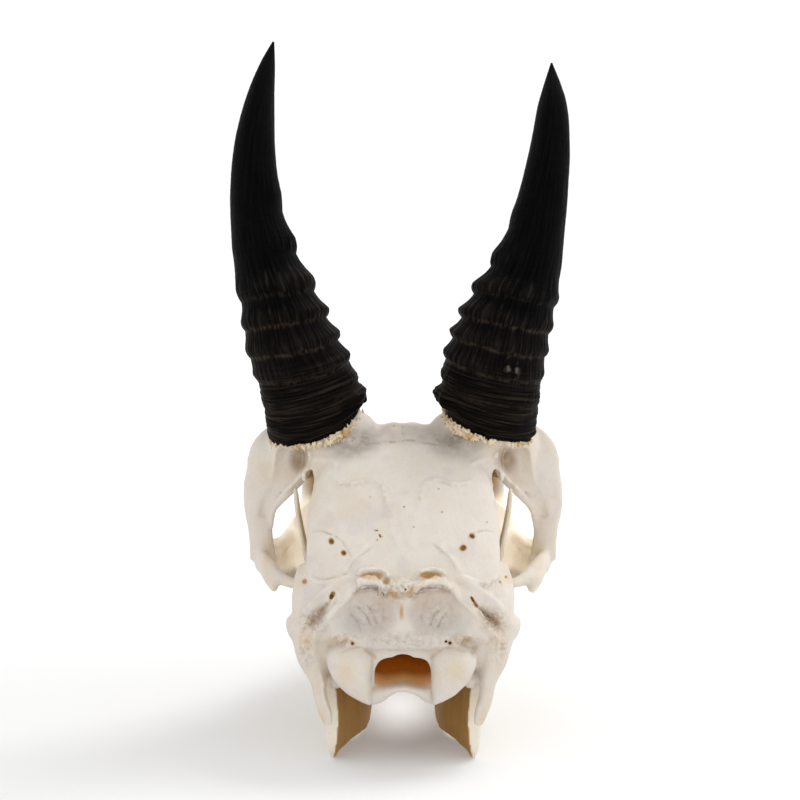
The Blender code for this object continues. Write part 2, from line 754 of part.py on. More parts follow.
def grown(outline, margin):
    """A side view with every corner moved outward by the margin. The outline runs clockwise."""
    points = np.asarray(outline, float)
    before = points - np.roll(points, 1, axis=0)
    after = np.roll(points, -1, axis=0) - points
    outward = []
    for edge in (before, after):
        edge = edge / np.linalg.norm(edge, axis=1)[:, None]
        outward.append(np.column_stack([-edge[:, 1], edge[:, 0]]))
    both = outward[0] + outward[1]
    both *= (margin * 2.0 / (both**2).sum(axis=1))[:, None]
    return points + both


def nasal_block(margin):
    """The block of the face that the two nasal bones fill, grown by the margin."""
    rows = [list(row) for row in NASAL_BLOCK]
    rows[0][0] -= margin
    for row in rows:
        row[1] -= margin
        row[3] += margin
    bm = bmesh.new()
    loft(bm, rows, 30, 24)
    return new_object("nasal block", bm)


def premaxilla_block(margin):
    """The block of the muzzle that the two premaxillae fill, grown by the margin."""
    outline = grown(PREMAXILLA_BLOCK, margin)
    return side_plate("premaxilla block", outline, -MUZZLE_HALF_WIDTH, MUZZLE_HALF_WIDTH)


def half_space(side):
    """A box over everything on one side of the middle of the skull, short of it by half the gap."""
    near, far = GAP / 2 * side, ROOM_HIGH[0] * side
    return box("half", (min(near, far), *ROOM_LOW[1:]), (max(near, far), *ROOM_HIGH[1:]))


def freed(skull, block, name, side):
    """One bone of a pair, cut out of the skull by its block."""
    piece = copy_of(skull, name)
    combine(piece, block, "INTERSECT")
    combine(piece, half_space(side), "INTERSECT")
    keep_largest(piece)
    return piece


def jaw(name, side):
    """One half of the lower jaw: a bent blade with its joint and teeth, flat where it stands."""
    made = side_plate(name, JAW_OUTLINE, -JAW_BLANK, JAW_BLANK, 160)
    fuse(made, JAW_VOXEL, 0)
    spots = np.empty(len(made.data.vertices) * 3)
    made.data.vertices.foreach_get("co", spots)
    spots = spots.reshape(-1, 3)
    half = along(JAW_HALF_THICKNESS, spots[:, 1]) * along(JAW_THINNING, spots[:, 2])
    middle = along(JAW_FLOOR_LINE, spots[:, 1]) + along(JAW_LEAN, spots[:, 2])
    spots[:, 0] = middle + half * spots[:, 0] / JAW_BLANK
    spots[:, 0] *= side
    made.data.vertices.foreach_set("co", spots.ravel())
    bm = bmesh.new()
    bm.from_mesh(made.data)
    bmesh.ops.recalc_face_normals(bm, faces=bm.faces[:])
    tube(bm, JAW_JOINT, 12, 14, side, across=(0.0, 1.0, 0.0))
    tube(bm, JAW_NECK, 12, 14, side)
    bpy.data.objects.remove(made)
    made = new_object(name, bm)
    fuse(made, JAW_VOXEL, 5)
    lighten(made, JAW_TRIANGLES)
    combine(made, half_space(side), "INTERSECT")
    combine(made, box("floor", ROOM_LOW, (*ROOM_HIGH[:2], 0.0)), "DIFFERENCE")
    combine(made, tooth_row(side, LOWER_TEETH, -1.0), "UNION")
    combine(made, front_teeth(side), "UNION")
    return made


def front_teeth(side):
    """The spade-shaped front teeth of one half of the jaw, rooted in its tip."""
    bm = bmesh.new()
    for place, half_width in INCISORS:
        back = place * INCISOR_ARC
        rows = []
        for share, step, y, sets_back, z, widen, half_thick in INCISOR_STATIONS:
            x = place * share + step
            rows.append((x, y - back * sets_back, z, half_width * widen, half_thick))
        tube(bm, rows, 8, 10, side)
    made = new_object("front teeth", bm)
    fuse(made, FRONT_TEETH_VOXEL, 1)
    lighten(made, FRONT_TEETH_TRIANGLES)
    return made


def finish(made, colour, roughness):
    """Gives the node its finish and turns millimetres into metres."""
    surface = bpy.data.materials.new(made.name)
    surface.use_nodes = True
    shader = surface.node_tree.nodes["Principled BSDF"]
    shader.inputs["Base Color"].default_value = (*colour, 1.0)
    shader.inputs["Roughness"].default_value = roughness
    shader.inputs["Metallic"].default_value = 0.0
    made.data.materials.clear()
    made.data.materials.append(surface)
    made.data.transform(Matrix.Scale(MM, 4) @ Matrix.Translation(-Vector(ORIGIN)))


for left_over in list(bpy.data.objects):
    bpy.data.objects.remove(left_over)

skull = cranium()
lighten(skull, CRANIUM_TRIANGLES)
for course in (HORN_COURSE_LEFT, HORN_COURSE_RIGHT):
    combine(skull, horn_seat(course), "DIFFERENCE")
nasals = [freed(skull, nasal_block(0.0), "nasal_" + word, side) for word, side in SIDES]
premaxillae = [freed(skull, premaxilla_block(0.0), "premaxilla_" + word, side) for word, side in SIDES]
combine(skull, nasal_block(GAP), "DIFFERENCE")
combine(skull, premaxilla_block(GAP), "DIFFERENCE")
for word, side in SIDES:
    combine(skull, tooth_row(side, UPPER_TEETH, 1.0), "UNION")
keep_largest(skull)
jaws = [jaw("mandible_" + word, side) for word, side in SIDES]
horns = [horn("horn_left", HORN_COURSE_LEFT), horn("horn_right", HORN_COURSE_RIGHT)]
for node in [skull] + nasals + premaxillae:
    finish(node, BONE, 0.62)
for node in jaws:
    finish(node, JAW_BONE, 0.58)
for node in horns:
    finish(node, HORN, 0.42)
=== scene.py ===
"""Looks of a male mountain reedbuck skull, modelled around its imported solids.

Lengths are millimetres in the bench frame below: X across the skull, Y forward from the neck joints to the
nose, Z up from the floor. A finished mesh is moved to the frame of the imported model, in metres. Places that
are read off the picture are pixels of its 800 by 800 frame, seen by the camera that stands behind the skull.
"""

import logging
import math
from dataclasses import dataclass, replace
from enum import Enum
from typing import Any, Callable, Iterable, Sequence

import bmesh
import bpy
import numpy as np
from mathutils import Matrix, Vector


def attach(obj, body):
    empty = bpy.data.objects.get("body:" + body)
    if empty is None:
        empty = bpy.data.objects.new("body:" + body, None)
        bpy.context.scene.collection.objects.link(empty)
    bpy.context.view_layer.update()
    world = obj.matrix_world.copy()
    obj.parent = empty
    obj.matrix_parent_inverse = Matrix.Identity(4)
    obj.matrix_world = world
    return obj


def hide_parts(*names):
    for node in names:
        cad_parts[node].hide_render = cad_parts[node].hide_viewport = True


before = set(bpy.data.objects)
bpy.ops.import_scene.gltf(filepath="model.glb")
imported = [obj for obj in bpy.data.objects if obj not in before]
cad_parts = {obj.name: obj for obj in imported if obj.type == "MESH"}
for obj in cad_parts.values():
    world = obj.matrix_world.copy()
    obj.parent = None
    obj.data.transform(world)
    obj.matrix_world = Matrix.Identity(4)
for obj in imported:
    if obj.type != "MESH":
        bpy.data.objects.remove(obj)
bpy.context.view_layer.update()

LOG = logging.getLogger("skull")
MM = 0.001
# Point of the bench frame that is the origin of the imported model
BENCH_ORIGIN = (-1.0, 101.8, 0.0)
ALONG_Y = (0.0, 1.0, 0.0)
# Two corners of a box well round the whole skull
ROOM = ((-80, -40, -20), (80, 240, 260))

Row = Sequence[float]
Rows = Sequence[Row]
Array = np.ndarray
Piece = bpy.types.Object
Shells = bmesh.types.BMesh
Tree = bpy.types.NodeTree
# A piece, its finish, its slot and the node that it replaces
Finished = tuple[Piece, bpy.types.Material, str, str]


class Side(Enum):
    """The two sides, by the sign of X. Left is the picture's left."""

    LEFT = -1.0
    RIGHT = 1.0

    @property
    def word(self) -> str:
        """The side's name as the pieces spell it."""
        return self.name.lower()


class Joining(Enum):
    """What is done to one closed solid with another."""

    CUT = "DIFFERENCE"
    CROSS = "INTERSECT"


# Numbers into shapes


def flow(rows: Rows, count: int, keys: int = 3) -> Array:
    """Carries rows of numbers smoothly through the given rows.

    Args:
        rows: the rows to pass through; their first numbers are a place.
        count: how many rows to return, at even steps of the way.
        keys: how many of the first numbers make the place.

    Returns:
        An array of that many rows.
    """
    rows = np.asarray(rows, float)
    steps = np.linalg.norm(np.diff(rows[:, :keys], axis=0), axis=1)
    way = np.concatenate([[0.0], np.cumsum(steps)])
    slope = np.gradient(rows, way, axis=0)
    at = np.linspace(0.0, way[-1], count)
    i = np.clip(np.searchsorted(way, at, side="right") - 1, 0, len(rows) - 2)
    span = (way[i + 1] - way[i])[:, None]
    t = (at - way[i])[:, None] / span
    start = (2 * t**3 - 3 * t**2 + 1) * rows[i] + (t**3 - 2 * t**2 + t) * span * slope[i]
    end = (3 * t**2 - 2 * t**3) * rows[i + 1] + (t**3 - t**2) * span * slope[i + 1]
    return start + end


def along(pairs: Rows, value: Any) -> Array:
    """Straight reading between the pairs of a short table."""
    table = np.asarray(pairs, float)
    return np.interp(value, table[:, 0], table[:, 1])


def carried_over(rows: Rows) -> Rows:
    """Rows from the left to the middle, carried on to the right in the same shape."""
    return (*rows, *((-row[0], *row[1:]) for row in rows[-2::-1]))


def quality(full: Any) -> Any:
    return full


def soft_step(value: Any, low: float, high: float) -> Array:
    """0 below low, 1 above high, and a soft climb between."""
    t = np.clip((np.asarray(value, float) - low) / (high - low), 0.0, 1.0)
    return t * t * (3.0 - 2.0 * t)


def soft_fall(value: Any, low: float, high: float) -> Array:
    """1 below low, 0 above high, and a soft fall between."""
    return soft_step(-np.asarray(value, float), -high, -low)


def between(value: Any, low: float, full: float, fading: float, gone: float) -> Array:
    """1 from full to fading, and a soft fall to 0 at low and at gone."""
    return soft_step(value, low, full) * soft_fall(value, fading, gone)


def bell(value: Any, middle: float, half_wide: float) -> Array:
    """1 in the middle, and a soft fall to 0 on both sides."""
    return np.exp(-(((value - middle) / half_wide) ** 2))


def oval(sides: int, power: float = 2.0, taper: float = 0.0) -> tuple[Array, Array]:
    """Points of a rounded square on the unit circle, narrowed towards its top by the taper."""
    turn = np.arange(sides) * 2.0 * math.pi / sides
    across = np.sign(np.cos(turn)) * np.abs(np.cos(turn)) ** (2.0 / power)
    up = np.sign(np.sin(turn)) * np.abs(np.sin(turn)) ** (2.0 / power)
    return across * (1.0 + taper * up), up


class Grain:
    """Seeded smooth noise that fills space, for roughness and stains."""

    CELLS = 32

    def __init__(self, seed: int) -> None:
        """Fills the lattice from the seed."""
        self.lattice = np.random.default_rng(seed).uniform(-1.0, 1.0, (self.CELLS,) * 3)

    def at(self, points: Array, size: Any, octaves: int = 1) -> Array:
        """Reads the noise.

        Args:
            points: places, one row each.
            size: length over which it changes, one number or one for each axis.
            octaves: how many halvings of that length are added.

        Returns:
            A number from about -1 to 1 for each place.
        """
        total = np.zeros(len(points))
        for octave in range(octaves):
            place = points / (np.asarray(size, float) / 2**octave) + 17.3 * octave
            low = np.floor(place).astype(int)
            t = place - low
            t = t * t * (3.0 - 2.0 * t)
            value = np.zeros(len(points))
            for corner in np.ndindex(2, 2, 2):
                share = np.prod(np.where(corner, t, 1.0 - t), axis=1)
                cell = (low + corner) % self.CELLS
                value += share * self.lattice[cell[:, 0], cell[:, 1], cell[:, 2]]
            total += value / 2**octave
        return total


@dataclass(frozen=True)
class Noise:
    """Grain read over a grid of places."""

    grain: Grain
    points: Array
    shape: tuple[int, int]

    def grid(self, size: Any, octaves: int) -> Array:
        """The noise as a grid, with the sizes and octaves that the grain takes."""
        return self.grain.at(self.points, size, octaves).reshape(self.shape)


# The bench: meshes, modifiers, joining and cutting


def skin(bm: Shells, rings: Sequence[Array], closed: bool = False) -> None:
    """Adds a closed skin over rings of points: a grid rolled up, its seam welded and its ends filled."""
    rings = list(rings) + ([rings[0]] if closed else [])
    sides = len(rings[0])
    sheet = bmesh.new()
    bmesh.ops.create_grid(sheet, x_segments=sides, y_segments=len(rings) - 1, size=1.0)
    table = np.concatenate([np.vstack([ring, ring[:1]]) for ring in rings])
    for vert, place in zip(sheet.verts, table):
        vert.co = place
    bmesh.ops.remove_doubles(sheet, verts=sheet.verts[:], dist=1e-5)
    if not closed:
        open_edges = [edge for edge in sheet.edges if edge.is_boundary]
        bmesh.ops.holes_fill(sheet, edges=open_edges, sides=0)
    bmesh.ops.recalc_face_normals(sheet, faces=sheet.faces[:])
    mesh = bpy.data.meshes.new("sheet")
    sheet.to_mesh(mesh)
    sheet.free()
    bm.from_mesh(mesh)
    bpy.data.meshes.remove(mesh)


def loft(bm: Shells, rows: Rows, count: int, sides: int) -> None:
    """Adds a body through upright sections: y, lowest z, highest z, half width, squareness, taper."""
    rings = []
    for row in flow(rows, count):
        y, low, high, half_width, power = row[:5]
        across, up = oval(sides, power, row[5] if len(row) > 5 else 0.0)
        height = 0.5 * (high + low) + 0.5 * (high - low) * up
        rings.append(np.column_stack([half_width * across, np.full(sides, y), height]))
    skin(bm, rings)


def tube(
    bm: Shells,
    rows: Rows,
    count: int,
    sides: int,
    side: float = 1.0,
    across: Row = (1.0, 0.0, 0.0),
    closed: bool = False,
) -> None:
    """Adds a tube of oval section.

    Args:
        bm: mesh that takes it.
        rows: its course, each row x, y, z, half size across, half size square to that.
        count: how many rings of points.
        sides: how many points in a ring.
        side: -1 mirrors it to the left.
        across: the way that its first half size lies.
        closed: whether it runs back into its start.
    """
    rows = np.asarray(rows, float)
    course = flow(rows, count)
    if closed:
        wrapped = np.vstack([rows[-2:], rows, rows[:2]])
        steps = np.linalg.norm(np.diff(wrapped[:, :3], axis=0), axis=1)
        way = np.concatenate([[0.0], np.cumsum(steps)])
        share = (count - 1) / way[-1]
        first, last = (int(round(way[i] * share)) for i in (2, len(wrapped) - 2))
        course = flow(wrapped, count)[first:last]
    u, v = oval(sides)
    rings = []
    for row, ahead in zip(course, np.gradient(course[:, :3], axis=0)):
        ahead = ahead / np.linalg.norm(ahead)
        wide = np.asarray(across) - ahead * (ahead @ np.asarray(across))
        wide = wide / np.linalg.norm(wide)
        ring = row[:3] + np.outer(u * row[3], wide) + np.outer(v * row[4], np.cross(ahead, wide))
        rings.append(ring * (side, 1.0, 1.0))
    skin(bm, rings, closed)


def stack(bm: Shells, rows: Rows, count: int, sides: int, side: float = 1.0, shift: float = 0.0) -> None:
    """Adds a body through level sections: z, inner x, outer x, rear y, front y and squareness.

    Args:
        bm: mesh that takes it.
        rows: its sections, from the lowest.
        count: how many rings of points.
        sides: how many points in a ring.
        side: -1 mirrors it to the left.
        shift: how far it is moved across after that.
    """
    rings = []
    for z, inner, outer, rear, front, power in flow(rows, count, keys=1):
        u, v = oval(sides, power)
        across = 0.5 * (inner + outer) + 0.5 * (outer - inner) * u
        deep = 0.5 * (rear + front) + 0.5 * (front - rear) * v
        rings.append(np.column_stack([across * side + shift, deep, np.full(sides, z)]))
    skin(bm, rings)


def blob(bm: Shells, centre: Row, half_sizes: Row, side: float = 1.0) -> None:
    """Adds an egg-shaped ball."""
    place = Matrix.Translation((centre[0] * side, centre[1], centre[2]))
    place = place @ Matrix.Diagonal((*half_sizes, 1.0))
    bmesh.ops.create_icosphere(bm, subdivisions=3, radius=1.0, matrix=place)


def new_piece(name: str, bm: Shells) -> Piece:
    """Makes an object of the mesh, which is used up."""
    mesh = bpy.data.meshes.new(name)
    bm.to_mesh(mesh)
    bm.free()
    made = bpy.data.objects.new(name, mesh)
    bpy.context.scene.collection.objects.link(made)
    return made


def reopened(piece: Piece) -> Shells:
    """The piece's mesh, ready for more shells, with the piece itself gone."""
    bm = bmesh.new()
    bm.from_mesh(piece.data)
    bpy.data.objects.remove(piece)
    return bm


def bake(piece: Piece) -> None:
    """Puts the shape that the modifiers give into the mesh itself."""
    bpy.context.view_layer.update()
    seen = piece.evaluated_get(bpy.context.evaluated_depsgraph_get())
    mesh = bpy.data.meshes.new_from_object(seen)
    old = piece.data
    piece.modifiers.clear()
    piece.data = mesh
    bpy.data.meshes.remove(old)


def fuse(piece: Piece, voxel: float, smoothing: int) -> None:
    """Melts overlapping shells into one closed skin of cubes of that size and softens it."""
    melt = piece.modifiers.new("melt", "REMESH")
    melt.mode = "VOXEL"
    melt.voxel_size = voxel
    soften = piece.modifiers.new("soften", "SMOOTH")
    soften.factor = 0.5
    soften.iterations = smoothing
    bake(piece)


def combine(piece: Piece, tool: Piece, way: Joining) -> None:
    """Cuts or crosses the piece with another closed solid, which is used up."""
    step = piece.modifiers.new("combine", "BOOLEAN")
    step.operation = way.value
    step.solver = "MANIFOLD"
    step.object = tool
    bake(piece)
    bpy.data.objects.remove(tool)


def cut_away(piece: Piece, draw: Callable[..., None], *sizes: Any) -> None:
    """Cuts out of the piece what the function draws from the sizes."""
    bm = bmesh.new()
    draw(bm, *sizes)
    combine(piece, new_piece("hollow", bm), Joining.CUT)


def twin_of(piece: Piece, name: str) -> Piece:
    """A second object with a copy of the mesh."""
    twin = bpy.data.objects.new(name, piece.data.copy())
    bpy.context.scene.collection.objects.link(twin)
    return twin


def lighten(piece: Piece, triangles: int, kept: Array | None = None) -> None:
    """Thins the mesh.

    Args:
        piece: the object.
        triangles: about how many triangles it may keep.
        kept: for each vertex, from 0, thin freely, to 1, keep.
    """
    now = sum(len(face.vertices) - 2 for face in piece.data.polygons)
    thin = piece.modifiers.new("thin", "DECIMATE")
    thin.ratio = min(1.0, triangles / now)
    thin.use_collapse_triangulate = True
    if kept is not None:
        group = piece.vertex_groups.new(name="thin")
        for level in range(11):
            chosen = np.flatnonzero(np.round(kept * 10) == level)
            group.add(chosen.tolist(), 1.0 - level / 10, "REPLACE")
        thin.vertex_group = group.name
        thin.vertex_group_factor = 12.0
    bake(piece)
    piece.vertex_groups.clear()


def box_solid(low: Row, high: Row) -> Piece:
    """A plain box between two corners."""
    bm = bmesh.new()
    low, high = Vector(low), Vector(high)
    place = Matrix.Translation((low + high) / 2) @ Matrix.Diagonal((*(high - low), 1.0))
    bmesh.ops.create_cube(bm, size=1.0, matrix=place)
    return new_piece("box", bm)


def side_plate(outline: Array, low_x: float, high_x: float) -> Piece:
    """A plate with the given side view, y and z, between two places across."""
    bm = bmesh.new()
    start = bmesh.ops.create_circle(bm, cap_ends=True, segments=len(outline), radius=1.0)["verts"]
    for vert, (y, z) in zip(start, outline):
        vert.co = (low_x, y, z)
    bmesh.ops.triangulate(bm, faces=bm.faces[:])
    drawn = bmesh.ops.extrude_face_region(bm, geom=bm.faces[:])["geom"]
    far_side = [item for item in drawn if isinstance(item, bmesh.types.BMVert)]
    bmesh.ops.translate(bm, verts=far_side, vec=(high_x - low_x, 0.0, 0.0))
    bmesh.ops.recalc_face_normals(bm, faces=bm.faces[:])
    return new_piece("plate", bm)


def closed_curve(points: Rows, count: int) -> Array:
    """A smooth closed side view through the given corners, y and z."""
    points = np.asarray(points, float)
    ring = np.vstack([points[-3:], points, points[:4]])
    steps = np.linalg.norm(np.diff(ring, axis=0), axis=1)
    way = np.concatenate([[0.0], np.cumsum(steps)])
    whole = flow(ring, count * 2, keys=2)
    at = np.linspace(0.0, way[-1], count * 2)
    return whole[(at >= way[3]) & (at < way[3 + len(points)])]


def seat_in_frame(piece: Piece) -> None:
    """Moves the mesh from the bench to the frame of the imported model, in metres."""
    piece.data.transform(Matrix.Scale(MM, 4) @ Matrix.Translation(-Vector(BENCH_ORIGIN)))
    piece.data.shade_smooth()


def declare(piece: Piece, node: str) -> None:
    """Hangs the piece on the root body, hides the imported part that it stands for, and logs its triangles."""
    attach(piece, "root")
    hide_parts(node)
    triangles = sum(len(face.vertices) - 2 for face in piece.data.polygons)
    LOG.info("%s: %d triangles", piece.name, triangles)


# The picture's camera, and marks that are placed by what it sees


@dataclass(frozen=True)
class PictureView:
    """The camera behind the skull, and the pixels of its frame."""

    target: Row = (-1.0, 55.0, 110.8)
    distance: float = 1000.0
    tilt_deg: float = 8.0
    focal_pixels: float = 3070.0
    frame_pixels: float = 800.0
    sensor: float = 36.0
    clip: tuple[float, float] = (0.05, 60.0)

    @property
    def axes(self) -> tuple[Array, Array, Array]:
        """The ways to the right, up and ahead."""
        tilt = math.radians(self.tilt_deg)
        ahead = np.array((0.0, math.cos(tilt), -math.sin(tilt)))
        return np.array((1.0, 0.0, 0.0)), np.array((0.0, math.sin(tilt), math.cos(tilt))), ahead

    @property
    def eye(self) -> Array:
        """Where the camera stands."""
        return np.asarray(self.target) - self.axes[2] * self.distance

    def project(self, points: Array) -> tuple[Array, Array, Array]:
        """Pixel across, pixel down and distance ahead of each point."""
        right, up, ahead = self.axes
        offset = points - self.eye
        depth = offset @ ahead
        half = self.frame_pixels / 2
        return (
            half + self.focal_pixels * (offset @ right) / depth,
            half - self.focal_pixels * (offset @ up) / depth,
            depth,
        )

    def ray(self, px: float, py: float) -> Array:
        """The way from the eye through a pixel, one millimetre ahead."""
        right, up, ahead = self.axes
        half = self.frame_pixels / 2
        return ahead + right * (px - half) / self.focal_pixels + up * (half - py) / self.focal_pixels

    def set_up(self) -> None:
        """Makes the camera."""
        lens = bpy.data.cameras.new("picture_camera")
        lens.sensor_width = self.sensor
        lens.lens = self.sensor * self.focal_pixels / self.frame_pixels
        lens.clip_start, lens.clip_end = self.clip
        camera = bpy.data.objects.new("picture_camera", lens)
        camera.location = (Vector(self.eye) - Vector(BENCH_ORIGIN)) * MM
        camera.rotation_euler = Vector(self.axes[2]).to_track_quat("-Z", "Y").to_euler()
        bpy.context.scene.collection.objects.link(camera)
        bpy.context.scene.camera = camera


VIEW = PictureView()


@dataclass(frozen=True)
class Dish:
    """A soft oval hollow, or a swelling where the depth is negative, placed in the picture."""

    px: float
    py: float
    half_wide: float
    half_high: float
    depth: float = 1.0
    turn_deg: float = 0.0
    edge: float = 1.0
    reach: float = 14.0


@dataclass(frozen=True)
class Stroke:
    """A ridge, or a groove where the height is negative, drawn through pixels of the picture."""

    points: Rows
    half_wide: float
    height: float
    reach: float = 7.0
    fade: float = 0.15


@dataclass(frozen=True)
class Bore:
    """A small round or long hole: its pixels, its radius and how deep it goes, both in millimetres."""

    points: Rows
    radius: float
    depth: float


def pit(px: float, py: float, radius: float, depth: float) -> Bore:
    """A round hole."""
    return Bore(((px, py),), radius, depth)


def pair(mark: Any, across: float = 806.0) -> tuple[Any, Any]:
    """A dish or stroke and its twin on the picture's other side.

    Args:
        mark: the one on the left.
        across: what the places across of the two add up to, in pixels.

    Returns:
        Both of them.
    """
    if isinstance(mark, Dish):
        return mark, replace(mark, px=across - mark.px, turn_deg=-mark.turn_deg)
    return mark, replace(mark, points=tuple((across - px, py) for px, py in mark.points))


@dataclass(frozen=True)
class Wear:
    """A place on both sides where the shape is worn smooth: centre and half sizes in millimetres."""

    centre: Row
    half_sizes: Row
    rounds: int
    power: int = 2
    middle_x: float = 0.0


class Skin:
    """The vertices of a piece as arrays, and what the picture's camera sees of them."""

    # Pixels in a cell of the depth table, how far behind it a vertex still shows, and how square to the view
    CELL = 2.0
    BEHIND = (3.0, 5.0)
    FACING = (0.05, 0.3)

    def __init__(self, piece: Piece, depths: Array | None = None) -> None:
        """Reads the mesh.

        Args:
            piece: the object.
            depths: nearest depth for each cell of the picture, where another skin gives it.
        """
        self.piece = piece
        mesh = piece.data
        self.points = np.empty(len(mesh.vertices) * 3)
        mesh.vertices.foreach_get("co", self.points)
        self.points = self.points.reshape(-1, 3)
        self.edges = np.empty(len(mesh.edges) * 2, int)
        mesh.edges.foreach_get("vertices", self.edges)
        self.edges = self.edges.reshape(-1, 2)
        self.links = np.maximum(np.bincount(self.edges.ravel(), minlength=len(self.points)), 1)
        self.given = depths
        self.measure()

    def measure(self) -> None:
        """Works out normals, pixels and what is seen."""
        mesh = self.piece.data
        mesh.vertices.foreach_set("co", self.points.ravel())
        mesh.update()
        self.normals = np.empty(len(self.points) * 3)
        mesh.vertex_normals.foreach_get("vector", self.normals)
        self.normals = self.normals.reshape(-1, 3)
        self.px, self.py, self.depth = VIEW.project(self.points)
        to_eye = VIEW.eye - self.points
        to_eye /= np.linalg.norm(to_eye, axis=1)[:, None]
        self.facing = (self.normals * to_eye).sum(1)
        cells = int(VIEW.frame_pixels / self.CELL)
        self.cell_x = np.clip((self.px / self.CELL).astype(int), 0, cells - 1)
        self.cell_y = np.clip((self.py / self.CELL).astype(int), 0, cells - 1)
        if self.given is None:
            self.depths = np.full((cells, cells), np.inf)
            np.minimum.at(self.depths, (self.cell_y, self.cell_x), self.depth)
        else:
            self.depths = self.given
        behind = self.depth - self.depths[self.cell_y, self.cell_x]
        self.seen = soft_fall(behind, *self.BEHIND) * soft_step(self.facing, *self.FACING)

    def depth_at(self, px: Any, py: Any) -> Array:
        """Nearest depth at a pixel, with a look at the cells beside it."""
        x = np.clip((np.asarray(px) / self.CELL).astype(int), 1, self.depths.shape[1] - 2)
        y = np.clip((np.asarray(py) / self.CELL).astype(int), 1, self.depths.shape[0] - 2)
        near = [self.depths[y + j, x + i] for j in (-1, 0, 1) for i in (-1, 0, 1)]
        return np.min(near, axis=0)

    def dish_mask(self, dish: Dish) -> Array:
        """How much each vertex takes of a dish, from 0 to 1."""
        turn = math.radians(dish.turn_deg)
        dx, dy = self.px - dish.px, self.py - dish.py
        u = (dx * math.cos(turn) + dy * math.sin(turn)) / dish.half_wide
        v = (dy * math.cos(turn) - dx * math.sin(turn)) / dish.half_high
        inside = soft_step(1.0 - np.sqrt(u * u + v * v), 0, dish.edge)
        level = self.depth_at(dish.px, dish.py)
        return inside * self.seen * soft_step(dish.reach - np.abs(self.depth - level), 0, 3)

    def stroke_mask(self, stroke: Stroke) -> Array:
        """How much each vertex takes of a stroke, from 0 to 1."""
        points = np.asarray(stroke.points, float)
        length = np.linalg.norm(np.diff(points, axis=0), axis=1).sum()
        count = max(4, int(length / 1.2))
        course = flow(points, count, keys=2) if len(points) > 2 else np.linspace(*points, count)
        mask = np.zeros(len(self.points))
        room = 3.0 * stroke.half_wide
        low, high = course.min(0) - room, course.max(0) + room
        near = np.flatnonzero(
            (self.px > low[0]) & (self.px < high[0]) & (self.py > low[1]) & (self.py < high[1])
            & (self.seen > 0.0)
        )
        if not len(near):
            return mask
        level = self.depth_at(course[:, 0], course[:, 1])
        nearest = np.full(len(near), np.inf)
        place = np.zeros(len(near), int)
        for number, (x, y) in enumerate(course):
            away = (self.px[near] - x) ** 2 + (self.py[near] - y) ** 2
            closer = away < nearest
            nearest[closer] = away[closer]
            place[closer] = number
        share = place / (count - 1)
        ends = soft_step(np.minimum(share, 1.0 - share), -0.001, max(stroke.fade, 0.001))
        window = soft_step(stroke.reach - np.abs(self.depth[near] - level[place]), 0, 2)
        mask[near] = np.exp(-nearest / stroke.half_wide**2) * ends * window * self.seen[near]
        return mask

    def press(self, dishes: Iterable[Dish]) -> None:
        """Sinks or swells the dishes, all from the same start."""
        move = sum(self.dish_mask(dish) * -dish.depth for dish in dishes)
        self.points += self.normals * move[:, None]
        self.measure()

    def draw(self, strokes: Iterable[Stroke], ragged: Any = 1.0) -> None:
        """Raises or cuts the strokes, all from the same start, each vertex by its own share."""
        move = sum(self.stroke_mask(stroke) * stroke.height for stroke in strokes) * ragged
        self.points += self.normals * move[:, None]
        self.measure()

    def shift(self, amount: Array) -> None:
        """Moves each vertex along its normal by its own amount."""
        self.points += self.normals * amount[:, None]
        self.measure()

    def spread(self, values: Array, rounds: int) -> Array:
        """Values averaged with their neighbours, so many times over."""
        a, b = self.edges.T
        for _ in range(rounds):
            columns = values.reshape(len(values), -1)
            total = np.empty_like(columns)
            for number, column in enumerate(columns.T):
                total[:, number] = np.bincount(a, column[b], len(column)) + np.bincount(b, column[a], len(column))
            values = 0.5 * values + 0.5 * (total / self.links[:, None]).reshape(values.shape)
        return values

    def relax(self, weight: Array, rounds: int) -> None:
        """Smooths the shape where the weight is 1."""
        smooth = self.spread(self.points, rounds)
        self.points += (smooth - self.points) * weight[:, None]
        self.measure()

    def wear(self, place: Wear) -> None:
        """Smooths the shape softly round a place."""
        away = (np.abs(self.points - (place.middle_x, 0.0, 0.0)) - place.centre) / place.half_sizes
        self.relax(np.exp(-(away**place.power).sum(1)), place.rounds)

    def hollowness(self, rounds: int) -> Array:
        """How far each vertex lies in a hollow, in millimetres; negative on a ridge."""
        return ((self.spread(self.points, rounds) - self.points) * self.normals).sum(1)


# Finishes


def linear(code: str) -> tuple[float, float, float]:
    """An sRGB hex colour as linear red, green and blue."""
    parts = [int(code[i : i + 2], 16) / 255 for i in (1, 3, 5)]
    return tuple(p / 12.92 if p <= 0.04045 else ((p + 0.055) / 1.055) ** 2.4 for p in parts)


def feed(tree: Tree, node: Any, feeds: dict) -> None:
    """Sets each input of the node, by name or number, or links it where a socket is given."""
    for key, value in feeds.items():
        if isinstance(value, bpy.types.NodeSocket):
            tree.links.new(value, node.inputs[key])
        else:
            node.inputs[key].default_value = value


def add_node(tree: Tree, kind: str, feeds: dict, output: Any = 0, **settings: Any) -> Any:
    """Adds one node.

    Args:
        tree: node tree that takes it.
        kind: its type, without the words that all types begin with.
        feeds: what each input, by name or number, is set to or linked from.
        output: name or number of the output that is wanted.
        settings: its own settings.

    Returns:
        That output.
    """
    made = tree.nodes.new("ShaderNode" + kind)
    for key, value in settings.items():
        setattr(made, key, value)
    feed(tree, made, feeds)
    return made.outputs[output]


